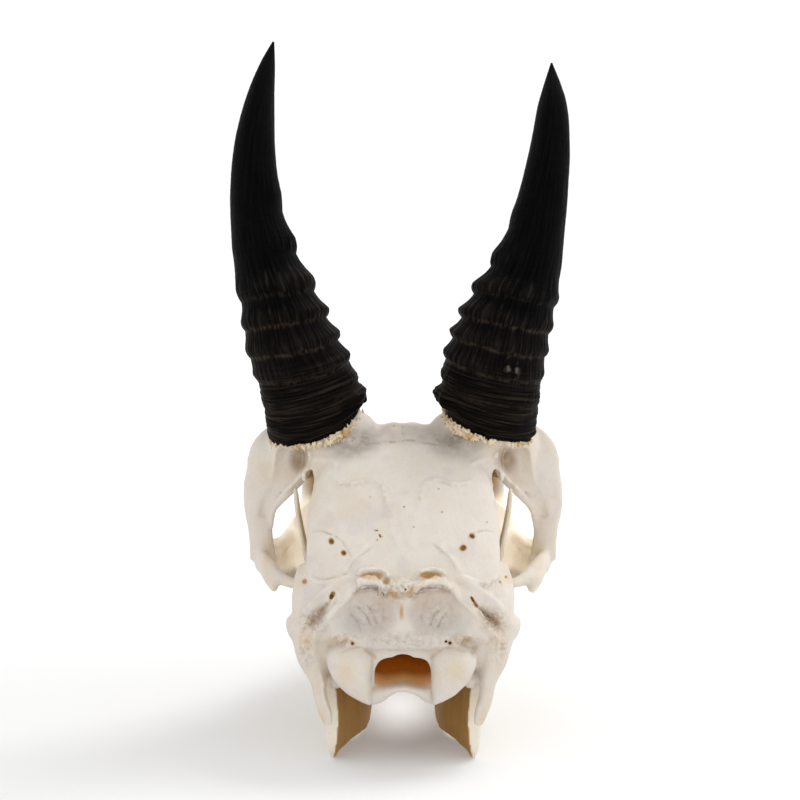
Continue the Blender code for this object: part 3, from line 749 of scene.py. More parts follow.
class Recipe:
    """A material in the making: its node tree, and the few kinds of node that the finishes use."""

    def __init__(self, name: str) -> None:
        """Starts a material with its Principled shader."""
        self.material = bpy.data.materials.new(name)
        self.material.use_nodes = True
        self.tree = self.material.node_tree

    def place(self) -> Any:
        """Where a point lies on the piece, in metres."""
        return add_node(self.tree, "TexCoord", {}, "Object")

    def stored(self, name: str, output: str = "Fac") -> Any:
        """What the mesh stores under that name."""
        return add_node(self.tree, "Attribute", {}, output, attribute_name=name)

    def noise(self, place: Any, scale: float, detail: float, roughness: float = 0.62) -> Any:
        """Cloudy noise."""
        feeds = {"Vector": place, "Scale": scale, "Detail": detail, "Roughness": roughness}
        return add_node(self.tree, "TexNoise", feeds, "Fac")

    def ramp(self, value: Any, low: float, high: float, top: float = 1.0, bottom: float = 0.0) -> Any:
        """The bottom number below low, the top one above high, and a climb between."""
        feeds = {"Value": value, "From Min": low, "From Max": high, "To Min": bottom, "To Max": top}
        return add_node(self.tree, "MapRange", feeds, "Result")

    def product(self, one: Any, other: Any) -> Any:
        """One number times the other."""
        return add_node(self.tree, "Math", {0: one, 1: other}, operation="MULTIPLY")

    def stain(self, tone: Any, share: Any, colour: Row, way: str = "MULTIPLY") -> Any:
        """The tone with a stain laid over it."""
        feeds = {0: share, 6: tone, 7: (*colour, 1.0)}
        return add_node(self.tree, "Mix", feeds, 2, data_type="RGBA", blend_type=way)

    def bump(self, height: Any, strength: Any, depth_mm: float, over: Any = None) -> Any:
        """Fine relief, on top of another where that is given."""
        feeds = {"Height": height, "Strength": strength, "Distance": depth_mm * MM}
        if over is not None:
            feeds["Normal"] = over
        return add_node(self.tree, "Bump", feeds, "Normal")

    def finish(self, feeds: dict) -> bpy.types.Material:
        """Feeds the shader and hands the material over."""
        feed(self.tree, self.tree.nodes["Principled BSDF"], feeds)
        return self.material


def store(piece: Piece, name: str, values: Array) -> None:
    """Stores one number for each vertex."""
    layer = piece.data.attributes.new(name, "FLOAT", "POINT")
    layer.data.foreach_set("value", values.astype(np.float32))


class Paint:
    """One linear colour for each vertex, laid on wash by wash."""

    def __init__(self, count: int, base: str) -> None:
        """Starts with one colour all over."""
        self.colours = np.tile(linear(base), (count, 1))

    def wash(self, mask: Array, code: str, strength: float = 1.0) -> None:
        """Lays another colour over the rest where the mask is."""
        share = np.clip(mask * strength, 0.0, 1.0)[:, None]
        self.colours = self.colours * (1.0 - share) + np.asarray(linear(code)) * share

    def dry_on(self, piece: Piece, order: Any = slice(None)) -> None:
        """Stores the colours on the piece, in the order of its vertices."""
        rows = np.column_stack([self.colours, np.ones(len(self.colours))])[order]
        layer = piece.data.attributes.new("paint", "FLOAT_COLOR", "POINT")
        layer.data.foreach_set("color", rows.astype(np.float32).ravel())


@dataclass(frozen=True)
class DryBone:
    """Bone that was boiled, cleaned and dried: chalky, matt, faintly translucent, with fine pores.

    The paint gives the stains, painted shade in hollows, painted highlights on ridges and edges and painted light on
    the plates under the eyes; the grain here is what a hand lens shows, drawn a little coarse.
    """

    name: str = "dry_cleaned_bone"
    # Size in millimetres and detail of the clouds, pores, fibres, crumbs and flakes
    grains: Rows = ((9.0, 5.0), (0.9, 3.0), (0.5, 2.0), (1.5, 5.0), (1.05, 3.0))
    cloud_tint: Row = (0.93, 0.84, 0.72)
    pore_tint: Row = (0.84, 0.77, 0.7)
    dirt_tint: Row = (0.5, 0.42, 0.34)
    bare: str = "#f0e9df"
    roughness: float = 0.62
    glow: float = 0.06
    # Painted glow: light that the thin plates under the eyes give off of their own, standing in for light they let
    # through
    painted_glow_share: float = 0.19

    def make(self) -> bpy.types.Material:
        """Builds the material."""
        mix = Recipe(self.name)
        place, crumbly = mix.place(), mix.stored("crumbly")
        clouds, pores, fibres, crumbs, flakes = (
            mix.noise(place, 1.0 / (size * MM), detail) for size, detail in self.grains
        )
        tone = mix.stain(mix.stored("paint", "Color"), mix.ramp(clouds, 0.42, 0.72, 0.34), self.cloud_tint)
        tone = mix.stain(tone, mix.ramp(pores, 0.5, 0.8, 0.35), self.pore_tint)
        tone = mix.stain(tone, mix.product(crumbly, mix.ramp(crumbs, 0.47, 0.62, 0.75)), self.dirt_tint)
        tone = mix.stain(tone, mix.product(crumbly, mix.ramp(flakes, 0.56, 0.68, 0.6)), linear(self.bare), "MIX")
        fine = mix.bump(fibres, 0.3, 0.14)
        return mix.finish({
            "Base Color": tone,
            "Normal": mix.bump(pores, mix.ramp(crumbly, 0.0, 1.0, 1.0, 0.35), 0.4, fine),
            # Painted glow: the thin plates under the eyes give off light of their own colour
            "Emission Color": tone,
            "Emission Strength": mix.product(mix.stored("thin"), self.painted_glow_share),
            "Roughness": self.roughness,
            "IOR": 1.5,
            "Specular IOR Level": 0.35,
            "Subsurface Weight": self.glow,
            "Subsurface Radius": (1.0, 0.7, 0.45),
            "Subsurface Scale": 1.2 * MM,
        })


@dataclass(frozen=True)
class HornKeratin:
    """Horn sheath: black keratin grown in layers, dull at the rings and a little polished at the tip.

    The paint gives the brown of the ring steps and painted highlights on the ring crests; grain runs up the horn, and
    growth lines run round it, with the colour painted lighter on their raised parts and darker in their grooves.
    """

    name: str = "grown_horn_keratin"
    # Across and up the horn
    grain_mm: tuple[float, float] = (0.7, 14.0)
    layer_mm: tuple[float, float] = (16.0, 0.55)
    layer_edge: str = "#2a221a"

    def make(self) -> bpy.types.Material:
        """Builds the material."""
        mix = Recipe(self.name)
        grown, layered = mix.stored("growth", "Vector"), mix.stored("layered")
        grain = self.drawn_out(mix, grown, self.grain_mm, 4.0)
        layers = self.drawn_out(mix, grown, self.layer_mm, 2.0)
        height = add_node(mix.tree, "Mix", {0: layered, 2: grain, 3: layers}, data_type="FLOAT")
        # Painted light and shade: the colour is brighter on raised grain and layers and darker in their grooves
        painted_relief_light = {0: mix.stored("paint", "Color"), "Scale": mix.ramp(height, 0.4, 0.66, 1.7, 0.3)}
        tone = add_node(mix.tree, "VectorMath", painted_relief_light, operation="SCALE")
        edges = mix.product(mix.ramp(layers, 0.54, 0.64), layered)
        return mix.finish({
            "Base Color": mix.stain(tone, edges, linear(self.layer_edge), "MIX"),
            "Normal": mix.bump(height, 0.7, 0.5),
            "Roughness": mix.ramp(height, 0.3, 0.7, 0.4, 0.6),
            "IOR": 1.54,
            "Specular IOR Level": 0.02,
        })

    @staticmethod
    def drawn_out(mix: Recipe, grown: Any, sizes_mm: tuple[float, float], detail: float) -> Any:
        """Noise of one size across the horn and another up it."""
        across, up = 1 / sizes_mm[0], 1 / sizes_mm[1]
        place = add_node(mix.tree, "Mapping", {"Vector": grown, "Scale": (across, across, up)})
        return mix.noise(place, 1.0, detail)


@dataclass(frozen=True)
class WornEnamel:
    """Tooth enamel with worn dentine: smooth, faintly glossy ivory, stained brown in its folds."""

    name: str = "worn_tooth_enamel"
    stain_mm: float = 2.2
    stain_tint: Row = (0.8, 0.66, 0.48)

    def make(self) -> bpy.types.Material:
        """Builds the material."""
        mix = Recipe(self.name)
        stain = mix.noise(mix.place(), 1.0 / (self.stain_mm * MM), 4.0, 0.5)
        return mix.finish({
            "Base Color": mix.stain(mix.stored("paint", "Color"), mix.ramp(stain, 0.45, 0.75, 0.5), self.stain_tint),
            "Normal": mix.bump(stain, 0.2, 0.2),
            "Roughness": 0.32,
            "IOR": 1.62,
            "Specular IOR Level": 0.4,
        })


# The skull's parts


@dataclass
class MuzzleCuts:
    """Blocks of the face that the nasals and premaxillae fill, with a gap like an open suture."""

    gap: float = 0.3
    nasals: Rows = (
        (97, 83.5, 97, 4, 5), (104, 79.6, 95, 8.6, 5), (130, 66.2, 80, 9.6, 5), (160, 50.6, 64, 8.6, 5),
        (182, 40.4, 54, 7, 5),
    )
    premaxillae: Rows = (
        (166, 14), (164.5, 24), (161, 33), (156, 42), (151, 51), (154, 52.4),
        (160, 49.6), (178, 41), (182, 39.4), (212, 39.4), (212, 14),
    )
    half_width: float = 20.0

    def nasal_block(self, margin: float) -> Piece:
        """The nasals' block, grown by the margin."""
        rows = [list(row) for row in self.nasals]
        rows[0][0] -= margin
        for row in rows:
            row[1] -= margin
            row[3] += margin
        bm = bmesh.new()
        loft(bm, rows, 60, 40)
        return new_piece("nasal block", bm)

    def premaxilla_block(self, margin: float) -> Piece:
        """The premaxillae's block, grown by the margin."""
        points = np.asarray(self.premaxillae, float)
        outward = []
        for edge in (points - np.roll(points, 1, axis=0), np.roll(points, -1, axis=0) - points):
            edge = edge / np.linalg.norm(edge, axis=1)[:, None]
            outward.append(np.column_stack([-edge[:, 1], edge[:, 0]]))
        both = outward[0] + outward[1]
        both *= (margin * 2.0 / (both**2).sum(axis=1))[:, None]
        return side_plate(points + both, -self.half_width, self.half_width)

    def half(self, side: Side) -> Piece:
        """A box over everything on one side of the middle, short of it by half the gap."""
        near, far = self.gap / 2 * side.value, ROOM[1][0] * side.value
        return box_solid((min(near, far), *ROOM[0][1:]), (max(near, far), *ROOM[1][1:]))


class Course:
    """Courses in the picture that both a shape and a stain follow."""

    TEMPLE_EDGE = ((307, 446), (309.5, 456), (308, 466), (302, 475), (293, 484), (283, 494))
    LEFT_BRANCH = ((330, 479), (344, 485), (358, 484), (372, 481), (380, 484), (385, 496), (388, 512))
    RIGHT_BRANCH = ((476, 479), (462, 485), (448, 484), (434, 481), (426, 484), (421, 496), (417, 512))
    LEFT_RIM = ((352, 592), (356, 587), (359.6, 583.4), (365.7, 580.6), (374.9, 581.4), (381, 585.3), (384, 590))
    RIGHT_RIM = (
        (408, 600), (413, 595), (416, 588.5), (420, 585.6), (426, 583.6), (434, 581), (443, 582.4), (453, 589),
    )
    BROW_SEAM = (
        (346, 449), (356, 446), (366, 444.5), (380, 442.5), (394, 442), (407, 440), (420, 442), (434, 444.5),
        (448, 447), (458, 451),
    )
    FOREHEAD_SEAM = ((403, 422), (402, 431), (405, 440))
    LEFT_SIDE_SEAM = ((310, 533), (319, 531), (327, 533), (334, 536), (341, 541), (346, 548), (352, 559))
    LEFT_EAR_SEAM = ((378, 543), (366, 552), (354, 561), (347, 573), (334, 578), (321, 579), (307, 575))
    RIGHT_SIDE_SEAM = ((496, 533), (487, 531), (478, 532), (472, 535), (466, 541))
    RIGHT_EAR_SEAM = ((431, 542), (440, 550), (448, 557), (456, 570))
    # Small scars in the pits of the nape
    SCARS = (
        ((357, 606), (365, 614), (371, 626)),
        ((366, 604), (373, 613), (377, 625)),
        ((441, 608), (434, 616), (430, 627)),
        ((448, 611), (441, 620), (437, 630)),
    )


@dataclass
class Cranium:
    """The skull without its lower jaw, nasals and premaxillae."""

    mass_voxel: float = quality(1.0)
    voxel: float = quality(0.5)
    triangles: int = quality(192_000)
    # Distances from the camera between which the mesh is thinned more and more
    kept_fine: tuple[float, float] = (1010.0, 1035.0)
    # How far a small hole's cutter is raised and made longer, so that it clears the face, and its voxel
    bore_rise: float = 0.3
    bore_spare: float = 0.8
    bore_voxel: float = 0.2

    # y, lowest z, highest z, half width, squareness
    braincase: Rows = (
        (6, 38, 62, 23, 3), (12, 40, 71, 28.5, 3.2), (20, 46, 80.5, 30.5, 3.2), (30, 54, 90, 30.5, 3.4),
        (40, 55, 96.5, 29.2, 3.4), (50, 55, 100.2, 27.5, 3), (60, 56, 101.2, 22, 3), (68, 57, 100.2, 15, 2.6),
    )
    base: Rows = (
        (9, 26.6, 50, 16, 2.6), (14, 23.7, 54, 23, 2.6), (22, 27.6, 60, 24, 2.8), (32, 34.6, 64, 22, 2.8),
        (45, 42, 66, 17, 2.6), (60, 49, 70, 12, 2.4), (72, 50, 74, 11, 2.4),
    )
    ear_ledge: Rows = (
        (9, 39, 50, 26, 3), (13, 37.5, 57, 33, 3.2), (18, 39, 60, 35.4, 3.4), (22.5, 46, 61.4, 35.4, 3.6),
        (26, 56.8, 62, 35, 3.2), (35, 57.6, 62.6, 34, 2.8),
    )
    forehead: Rows = (
        (40, 86, 95.6, 24, 2.4), (46, 87, 99, 32, 2.6), (52, 88, 100.7, 40, 2.6), (60, 89, 101.7, 43.5, 2.6),
        (70, 87, 100.6, 41.5, 2.6), (80, 83, 98.4, 37, 2.6), (90, 77, 93.2, 32, 2.6), (100, 72, 87, 26, 2.6),
    )
    # The same and how much narrower the top is than the bottom
    face: Rows = (
        (60, 56, 100, 13, 2.6, 0.10), (72, 47, 99.5, 13, 2.6, 0.10), (78, 42, 98, 21, 2.8, 0),
        (84, 41.5, 95.5, 27, 2.8, -0.05), (92, 40.6, 91.5, 29, 3, -0.18), (102, 39.6, 86, 29, 3, -0.30),
        (120, 37.5, 75.8, 25.5, 2.8, -0.40), (136, 35.5, 66.8, 19.5, 2.6, -0.36),
        (150, 31.5, 59.5, 14.8, 2.6, -0.28), (166, 27.5, 51, 12.6, 2.6, -0.22),
        (176, 25.2, 44.5, 12.2, 2.6, -0.22), (186, 23.6, 36, 12.2, 2.6, -0.10),
        (198, 22.4, 29.5, 10.8, 2.4, 0), (205, 22.6, 26.4, 7, 2.2, 0),
    )
    # Courses: x, y, z and two half sizes
    cheek_arch: Rows = (
        (26, 104, 48.5, 3, 7), (33.5, 93, 50.5, 3, 7.8), (39, 82, 53, 2.8, 7.6), (43.5, 71, 55.4, 2.5, 6.4),
        (46.4, 60, 57.6, 2.3, 5), (46, 50, 58.2, 2.2, 4), (43.2, 42, 57.4, 2.4, 3.4),
        (40, 37, 55.6, 2.3, 2.3), (36.6, 33, 54.8, 2.1, 1.7), (33, 30, 54.8, 2.8, 1.8),
        (28, 27, 56, 4.5, 2.5),
    )
    arch_spur: Rows = (
        (43.6, 43, 57.4, 3.2, 2.4), (42.4, 38, 54.6, 2.6, 2), (41.4, 35, 51.4, 1.2, 1.2),
    )
    orbit_bar: Rows = (
        (33, 58, 96, 9.5, 3.4), (40.7, 57, 92.5, 9.6, 3), (43.8, 55.5, 82.7, 7.8, 2.4),
        (46.6, 54, 74.5, 4.6, 2.1), (46.6, 53, 67, 4, 2), (45.8, 52, 58.5, 4.4, 2.2),
    )
    # Bone that rises to the foot of the horn
    pedicle: Rows = (
        (24, 59.5, 88, 22, 18), (26.3, 58.6, 94.6, 19.4, 16.5), (28.2, 57.8, 99.6, 17.6, 14.6),
        (29.2, 57, 103.4, 15.1, 13.6),
    )
    # Free edge of the sheet behind the horn, down to the bar
    temple_crest: Rows = (
        (31, 47.6, 96.5, 1.5, 2), (31, 46.4, 91.6, 1.4, 2.1), (32.4, 47.8, 87.4, 1.1, 2),
        (35.4, 50.4, 83.4, 0.9, 1.8), (39.3, 51.8, 79, 0.8, 1.4), (42.4, 52.4, 74.8, 0.8, 1.1),
        (43.4, 52.6, 69, 0.8, 0.9),
    )
    # Spoon-shaped hollow beside it, cut with a tube
    temple_spoon: Rows = (
        (35.4, 40, 98.5, 4, 6), (37, 40.6, 93, 6.2, 10.8), (38.8, 42.6, 87.6, 6.2, 10.4),
        (41.4, 44.8, 82.4, 5.6, 8.9), (44.4, 46.8, 77, 4.2, 6.8), (46, 49.4, 71, 2.4, 4),
    )
    # Hollows cut with egg shapes, under that edge: centre and half sizes
    scoops: Sequence[tuple[Row, Row]] = (
        ((29.9, 48.8, 86.8), (2.2, 7.4, 5)),
        ((32.6, 48.9, 82.6), (3.6, 7.4, 4.6)),
    )
    orbit_rim: Rows = (
        (50, 55.5, 78, 2.4, 2.4), (48.4, 58.5, 88.5, 2.6, 2.6), (42.5, 67, 96, 2.8, 2.8),
        (36, 80, 93, 2.6, 2.6), (32, 89, 82, 2.6, 2.6), (32.5, 90, 69, 2.6, 2.6),
        (38.5, 80.5, 60.5, 2.5, 2.5), (45, 66, 59.5, 2.3, 2.3), (48, 56.5, 67, 2.2, 2.2),
    )
    nape_crest: Rows = carried_over((
        (-35, 19, 43.5, 3.6, 3.6), (-27.5, 12, 48, 2.4, 2.4), (-15, 5.5, 58.5, 1.8, 1.8),
        (0, 4.5, 59, 1.8, 1.8),
    ))
    # z, inner x, outer x, rear y, front y, squareness
    condyle: Rows = (
        (19.9, 9.4, 10.4, 9, 12.2, 2), (21.2, 9.3, 12.8, 6.6, 13.8, 2.2), (23.4, 9.3, 16.4, 4.4, 15, 2.4),
        (26, 9.3, 19.2, 2.8, 16, 2.5), (29, 9.3, 21.6, 1.5, 17, 2.5), (32.5, 9.3, 23.2, 0.8, 17, 2.5),
        (35.4, 9.4, 23.6, 1.2, 17, 2.5), (37.4, 10.2, 22.9, 2.6, 17, 2.4), (38.8, 12, 21.4, 4.6, 17, 2.2),
        (39.8, 14.2, 19.8, 7.2, 16, 2),
    )
    condyle_shift: float = -0.45
    # Lip of the great opening, from one condyle's foot to the other's
    lip: Rows = carried_over((
        (-10.6, 12.4, 22, 2.4, 2.8), (-7.4, 12.8, 22.9, 2.6, 2.6), (-4, 12.8, 24, 2.2, 1.5),
        (0, 12.9, 24.8, 2, 1.2),
    ))
    neck_spur: Rows = (
        (30.5, 16, 41, 4.6, 5), (28.8, 13.6, 34, 4.4, 4.2), (26.9, 12, 27.4, 2.7, 3.4),
        (26, 11.4, 22, 2.2, 2.8), (24.5, 10.8, 17, 2.1, 2.3), (23.6, 10.4, 13.2, 1.4, 1.6),
    )
    ear_tube: Rows = ((19, 24, 41, 4, 4), (28, 20, 44.5, 3.6, 3.6), (34.5, 18.6, 46.8, 3.4, 3.4))
    palate_wing: Rows = (
        (12.5, 88, 46, 1.4, 5), (11.8, 76, 46.5, 1.2, 6.5), (10.8, 66, 46.5, 1.1, 8), (10.2, 57, 50, 1.2, 5),
        (10, 50, 51, 1.2, 3),
    )
    # Plate under the eye, from its outer point inwards
    orbit_floor: Rows = (
        (43, 84, 58, 2.4, 0.8), (39.2, 84, 58, 4.4, 5.4), (36, 84, 58, 6, 10.4), (31, 84, 58, 8, 15),
        (25, 84, 58, 9, 17),
    )
    # Centre and half sizes
    balls: Sequence[tuple[Row, Row]] = (
        ((15.6, 28, 33), (5.4, 9.5, 9.5)),
        ((21.3, 14.8, 27), (2.7, 3.6, 2.8)),
        ((25, 15, 35.2), (3.4, 4, 7.5)),
        ((2.6, 60, 96.5), (6.8, 13, 6.3)),
        ((32, 18, 43.5), (5, 6, 5.5)),
    )
    horn_stub: Rows = ((27, 60, 86, 14.6, 14.6), (29, 57, 102.8, 14.6, 14.6))
    orbit: tuple[Row, Row] = ((36, 72, 77.5), (22.5, 15, 15.5))
    great_opening: Rows = (
        (-4, 8, 35.2, 9, 5), (6, 10, 35.2, 9, 5), (10, 14, 35.4, 9, 4.6), (11.8, 23.8, 36, 9, 4.2),
        (14, 26, 37.2, 9.1, 3.6), (20, 31.6, 43.6, 11, 2.6), (30, 38.6, 50, 12, 2.4), (38, 43, 48, 7, 2.2),
    )
    # Arch that the floor of the great opening stands on, and the peak of its roof
    arches: Sequence[tuple[Row, Row]] = (
        ((0, 9, 14.8), (10.6, 18, 10.2)),
        ((0, 4, 33.9), (4.4, 12, 2.9)),
    )
    throat: Rows = (
        (60, 38, 49.5, 7.6, 3), (74, 40, 51.5, 7.8, 3), (86, 43.5, 52, 7, 2.6), (98, 45, 50.5, 4.6, 2.4),
    )
    palate_vault: Rows = (
        (74, 30, 44, 13, 3), (100, 30, 41.8, 14.2, 3), (130, 28, 38.2, 9.6, 3), (150, 24, 33, 6.6, 2.6),
        (162, 20, 28.4, 4.6, 2.4),
    )
    nose: Rows = (
        (146, 44, 50, 3.6, 2.4), (158, 35, 48.2, 7.4, 2.8), (170, 29, 43.2, 9, 2.8),
        (184, 26.8, 42, 9.2, 2.8), (198, 25.6, 44, 8, 2.6), (212, 25.2, 46, 6, 2.4),
    )

    hollows: Sequence[Dish] = (
        *pair(Dish(371, 612, 30, 29, 2.6, edge=0.55), 805),
        *pair(Dish(299, 461, 8.5, 15, 1.5, turn_deg=8, edge=0.9, reach=20)),
        *pair(Dish(341, 522, 30, 44, 0.7), 804),
        Dish(403, 500, 26, 60, -0.5),
        Dish(372.5, 575.5, 13.5, 5, 1.9, turn_deg=-3),
        Dish(430.5, 574.8, 13.5, 4.6, 1.9, turn_deg=3),
        Dish(386, 581, 4, 4),
        Dish(318, 616, 15, 7, 1.2, turn_deg=-48),
        Dish(489, 617, 16, 8, 1.4, turn_deg=44),
        Dish(403, 583, 12, 7, -0.7),
        Dish(340, 640, 10, 7, -0.7),
        Dish(466, 640, 8, 5, 0.8),
    )
    crests: Sequence[Stroke] = (
        Stroke(((401.5, 596), (401.5, 606), (402, 626)), 1.5, 1.3),
        Stroke(((356, 586), (350, 592), (343, 601), (335, 611), (325, 623), (316, 634), (312, 648)), 3, 1.5),
        Stroke(((451, 587), (456, 592), (463, 601), (472, 611), (484, 624), (494, 634), (502, 644)), 3, 1.5),
        Stroke(((352, 575), (341, 580), (325, 591), (309, 606), (299, 618)), 2.8, 0.9),
        Stroke(((453, 575), (464, 580), (480, 590), (497, 604), (507, 616)), 2.8, 0.9),
        Stroke(Course.LEFT_BRANCH, 3.2, 0.95),
        Stroke(Course.RIGHT_BRANCH, 3.2, 0.95),
        *pair(Stroke(Course.TEMPLE_EDGE, 1.8, 0.7)),
        *pair(Stroke(((388, 508), (392, 530), (398, 548)), 4, 0.4), 805),
        *pair(Stroke(((369, 543), (360, 553), (350, 566), (344, 576)), 3, 0.6)),
        Stroke(((328, 640), (338, 634), (350, 637), (360, 644)), 2, 0.7),
        Stroke(((477, 640), (468, 634), (456, 637), (446, 645)), 2, 0.7),
        *pair(Stroke(((311, 462), (320, 459), (330, 461), (338, 466)), 2.6, 0.6), 807),
    )
    # Thin ragged rims round the pits of the nape and the ear
    rims: Sequence[Stroke] = (
        Stroke(Course.LEFT_RIM, 1.7, 1.7, fade=0.08),
        Stroke(((380, 583), (384, 590), (388, 595), (393, 598), (399, 600)), 1.6, 1.5, fade=0.08),
        Stroke(Course.RIGHT_RIM, 1.7, 1.6, fade=0.08),
        Stroke(((357, 577), (361, 571.5), (370, 569.6), (380, 570), (386, 573), (389, 579)), 1.7, 1.1, fade=0.08),
        Stroke(((417, 578), (420, 572), (427, 569.6), (436, 569.6), (443, 572.4), (446, 577)), 1.7, 1.1, fade=0.08),
        Stroke(((302, 572), (310, 578), (320, 583), (334, 580), (346, 574)), 1.5, 0.6),
        Stroke(((503, 572), (495, 578), (485, 583), (471, 580), (459, 574)), 1.5, 0.6),
        Stroke(((331, 590), (338, 593), (339, 601), (331, 611), (320, 622)), 1.5, 0.9),
        Stroke(((469, 595), (470, 602), (478, 612), (488, 622), (498, 630)), 1.5, 0.9),
        Stroke(((318, 668), (322, 680), (323, 694), (327, 708), (331, 718)), 1.5, 0.6),
    )
    seams: Sequence[Stroke] = (
        Stroke(((352, 594), (358, 590), (366, 588), (376, 589), (382, 593), (388, 599)), 3, -1),
        Stroke(((411, 601), (417, 593), (424, 589.6), (434, 587), (444, 589), (452, 594)), 3, -1),
        Stroke(Course.BROW_SEAM, 1.1, -0.18),
        Stroke(Course.FOREHEAD_SEAM, 0.9, -0.2),
        Stroke(((378, 661), (370, 653), (360, 647.5), (348, 648.5), (337, 653)), 1.8, -0.5),
        Stroke(((428, 661), (436, 653), (446, 648), (458, 648), (469, 652)), 1.8, -0.5),
        Stroke(Course.LEFT_SIDE_SEAM, 1.1, -0.36),
        Stroke(Course.LEFT_EAR_SEAM, 1, -0.3),
        Stroke(Course.RIGHT_SIDE_SEAM, 1.1, -0.3),
        Stroke(Course.RIGHT_EAR_SEAM, 1, -0.28),
        Stroke(Course.SCARS[0], 1.1, -0.5),
        Stroke(Course.SCARS[1], 1, -0.45),
        Stroke(((350, 612), (357, 620), (361, 631)), 1, -0.35),
        Stroke(((380, 600), (383, 610), (384, 622)), 1, -0.3),
        Stroke(Course.SCARS[2], 1.1, -0.5),
        Stroke(Course.SCARS[3], 1, -0.4),
        Stroke(((424, 602), (422, 612), (421, 622)), 1, -0.3),
        Stroke(((331, 599), (327, 604), (320, 612)), 1.8, -0.8),
        Stroke(((476, 605), (482, 612), (490, 620)), 1.8, -0.8),
        Stroke(((306, 626), (300, 640), (303, 655)), 1.2, -0.35),
        Stroke(((496, 630), (503, 645), (505, 655)), 1.2, -0.35),
    )
    bores: Sequence[Bore] = (
        Bore(((331, 540.4), (331.6, 542)), 0.74, 1.3),
        Bore(((343.2, 552.4), (344, 553.4)), 0.66, 1.1),
        Bore(((471.4, 535.6), (472.6, 536.6)), 0.66, 1.3),
        Bore(((462.4, 548.4), (463.6, 547.8)), 0.84, 1.1),
        pit(304.5, 581.5, 0.72, 1.6), pit(500, 582, 0.34, 1.2), pit(506, 577, 0.34, 1.2),
        pit(352.6, 643.5, 0.5, 1.6), pit(446, 641.5, 0.45, 1.6), pit(450, 643, 0.55, 1.8),
        pit(405.5, 589.5, 0.34, 1.4),
        Bore(((333, 593.6), (331.6, 596.6)), 0.66, 1.7),
        pit(331, 598, 0.5, 1.2),
        Bore(((471.4, 597.6), (473.6, 601.4)), 0.36, 1.6),
        Bore(((475, 603.6), (476.6, 606)), 0.46, 1.6),
        pit(370, 497, 0.18, 0.6), pit(404, 507, 0.22, 0.7), pit(439, 489, 0.18, 0.6),
        pit(442, 512, 0.18, 0.6), pit(414, 527, 0.18, 0.6), pit(487, 522, 0.2, 0.6),
        pit(394, 426, 0.24, 0.8),
        Bore(((375.6, 530.6), (377.6, 530.4)), 0.2, 0.7),
        Bore(((379.4, 534.6), (380.6, 537)), 0.22, 0.7),
        pit(377.4, 540, 0.2, 0.7), pit(382.4, 536.6, 0.18, 0.6),
    )
    # Muscle fields of the nape and beside the ear, and how crumbly they are
    crumbly: Sequence[Dish] = (
        *pair(Dish(370, 614, 32, 28, 0.35)), Dish(403, 641, 66, 15, 0.6), *pair(Dish(312, 622, 22, 20, 0.9), 807),
        Dish(306, 650, 14, 26, 0.7), Dish(500, 646, 14, 26, 0.7), *pair(Dish(344, 640, 24, 11, 0.8)),
        Dish(403, 588, 46, 16, 0.8), *pair(Dish(350, 440, 36, 16, 0.6), 808), Dish(490, 585, 20, 10, 0.5),
    )
    # Where corners are worn round: the horns' feet and the roof of the great opening, then the temples
    worn_before: Sequence[Wear] = (
        Wear((7.2, 56, 101), (5.5, 12, 4.5), 40),
        Wear((0, 14.5, 25.6), (7.6, 4, 3.6), 30, power=4),
    )
    worn_after: Wear = Wear((34.4, 50, 90.7), (2.8, 9, 7), 14, middle_x=-0.5)

    def rough_out(self) -> Piece:
        """Melts the main masses together, then the thin parts, and opens the hollows."""
        bm = bmesh.new()
        loft(bm, self.braincase, 40, 48)
        loft(bm, self.base, 30, 40)
        loft(bm, self.forehead, 34, 48)
        loft(bm, self.face, 80, 48)
        loft(bm, self.ear_ledge, 28, 40)
        made = new_piece("cranium", bm)
        fuse(made, self.mass_voxel, quality(14))
        bm = reopened(made)
        tube(bm, self.nape_crest, 60, 16, across=ALONG_Y)
        for side in Side:
            sign = side.value
            tube(bm, self.cheek_arch, 60, 24, sign)
            tube(bm, self.arch_spur, 16, 16, sign)
            tube(bm, self.orbit_bar, 40, 28, sign)
            tube(bm, self.orbit_rim, 120, 20, sign, across=(0.8, -0.6, 0.0), closed=True)
            tube(bm, self.pedicle, 24, 48, sign)
            tube(bm, self.orbit_floor, 24, 32, sign, across=ALONG_Y)
            stack(bm, self.condyle, 44, 48, sign, self.condyle_shift)
            tube(bm, self.neck_spur, 36, 20, sign)
            tube(bm, self.ear_tube, 14, 20, sign, across=ALONG_Y)
            tube(bm, self.palate_wing, 30, 16, sign)
            tube(bm, self.horn_stub, 8, 40, sign)
            for egg in self.balls:
                blob(bm, *egg, sign)
        made = new_piece("cranium", bm)
        fuse(made, self.voxel, 5)
        for side in Side:
            for egg in (self.orbit, *self.scoops):
                cut_away(made, blob, *egg, side.value)
            cut_away(made, tube, self.temple_spoon, 40, 32, side.value)
        for egg in self.arches:
            cut_away(made, blob, *egg)
        for opening in (self.great_opening, self.throat, self.palate_vault, self.nose):
            cut_away(made, loft, opening, 90, 48)
        bm = reopened(made)
        tube(bm, self.lip, 40, 16, across=ALONG_Y)
        for side in Side:
            tube(bm, self.temple_crest, 50, 16, side.value, across=ALONG_Y)
        made = new_piece("cranium_bone", bm)
        fuse(made, self.voxel, 4)
        return made

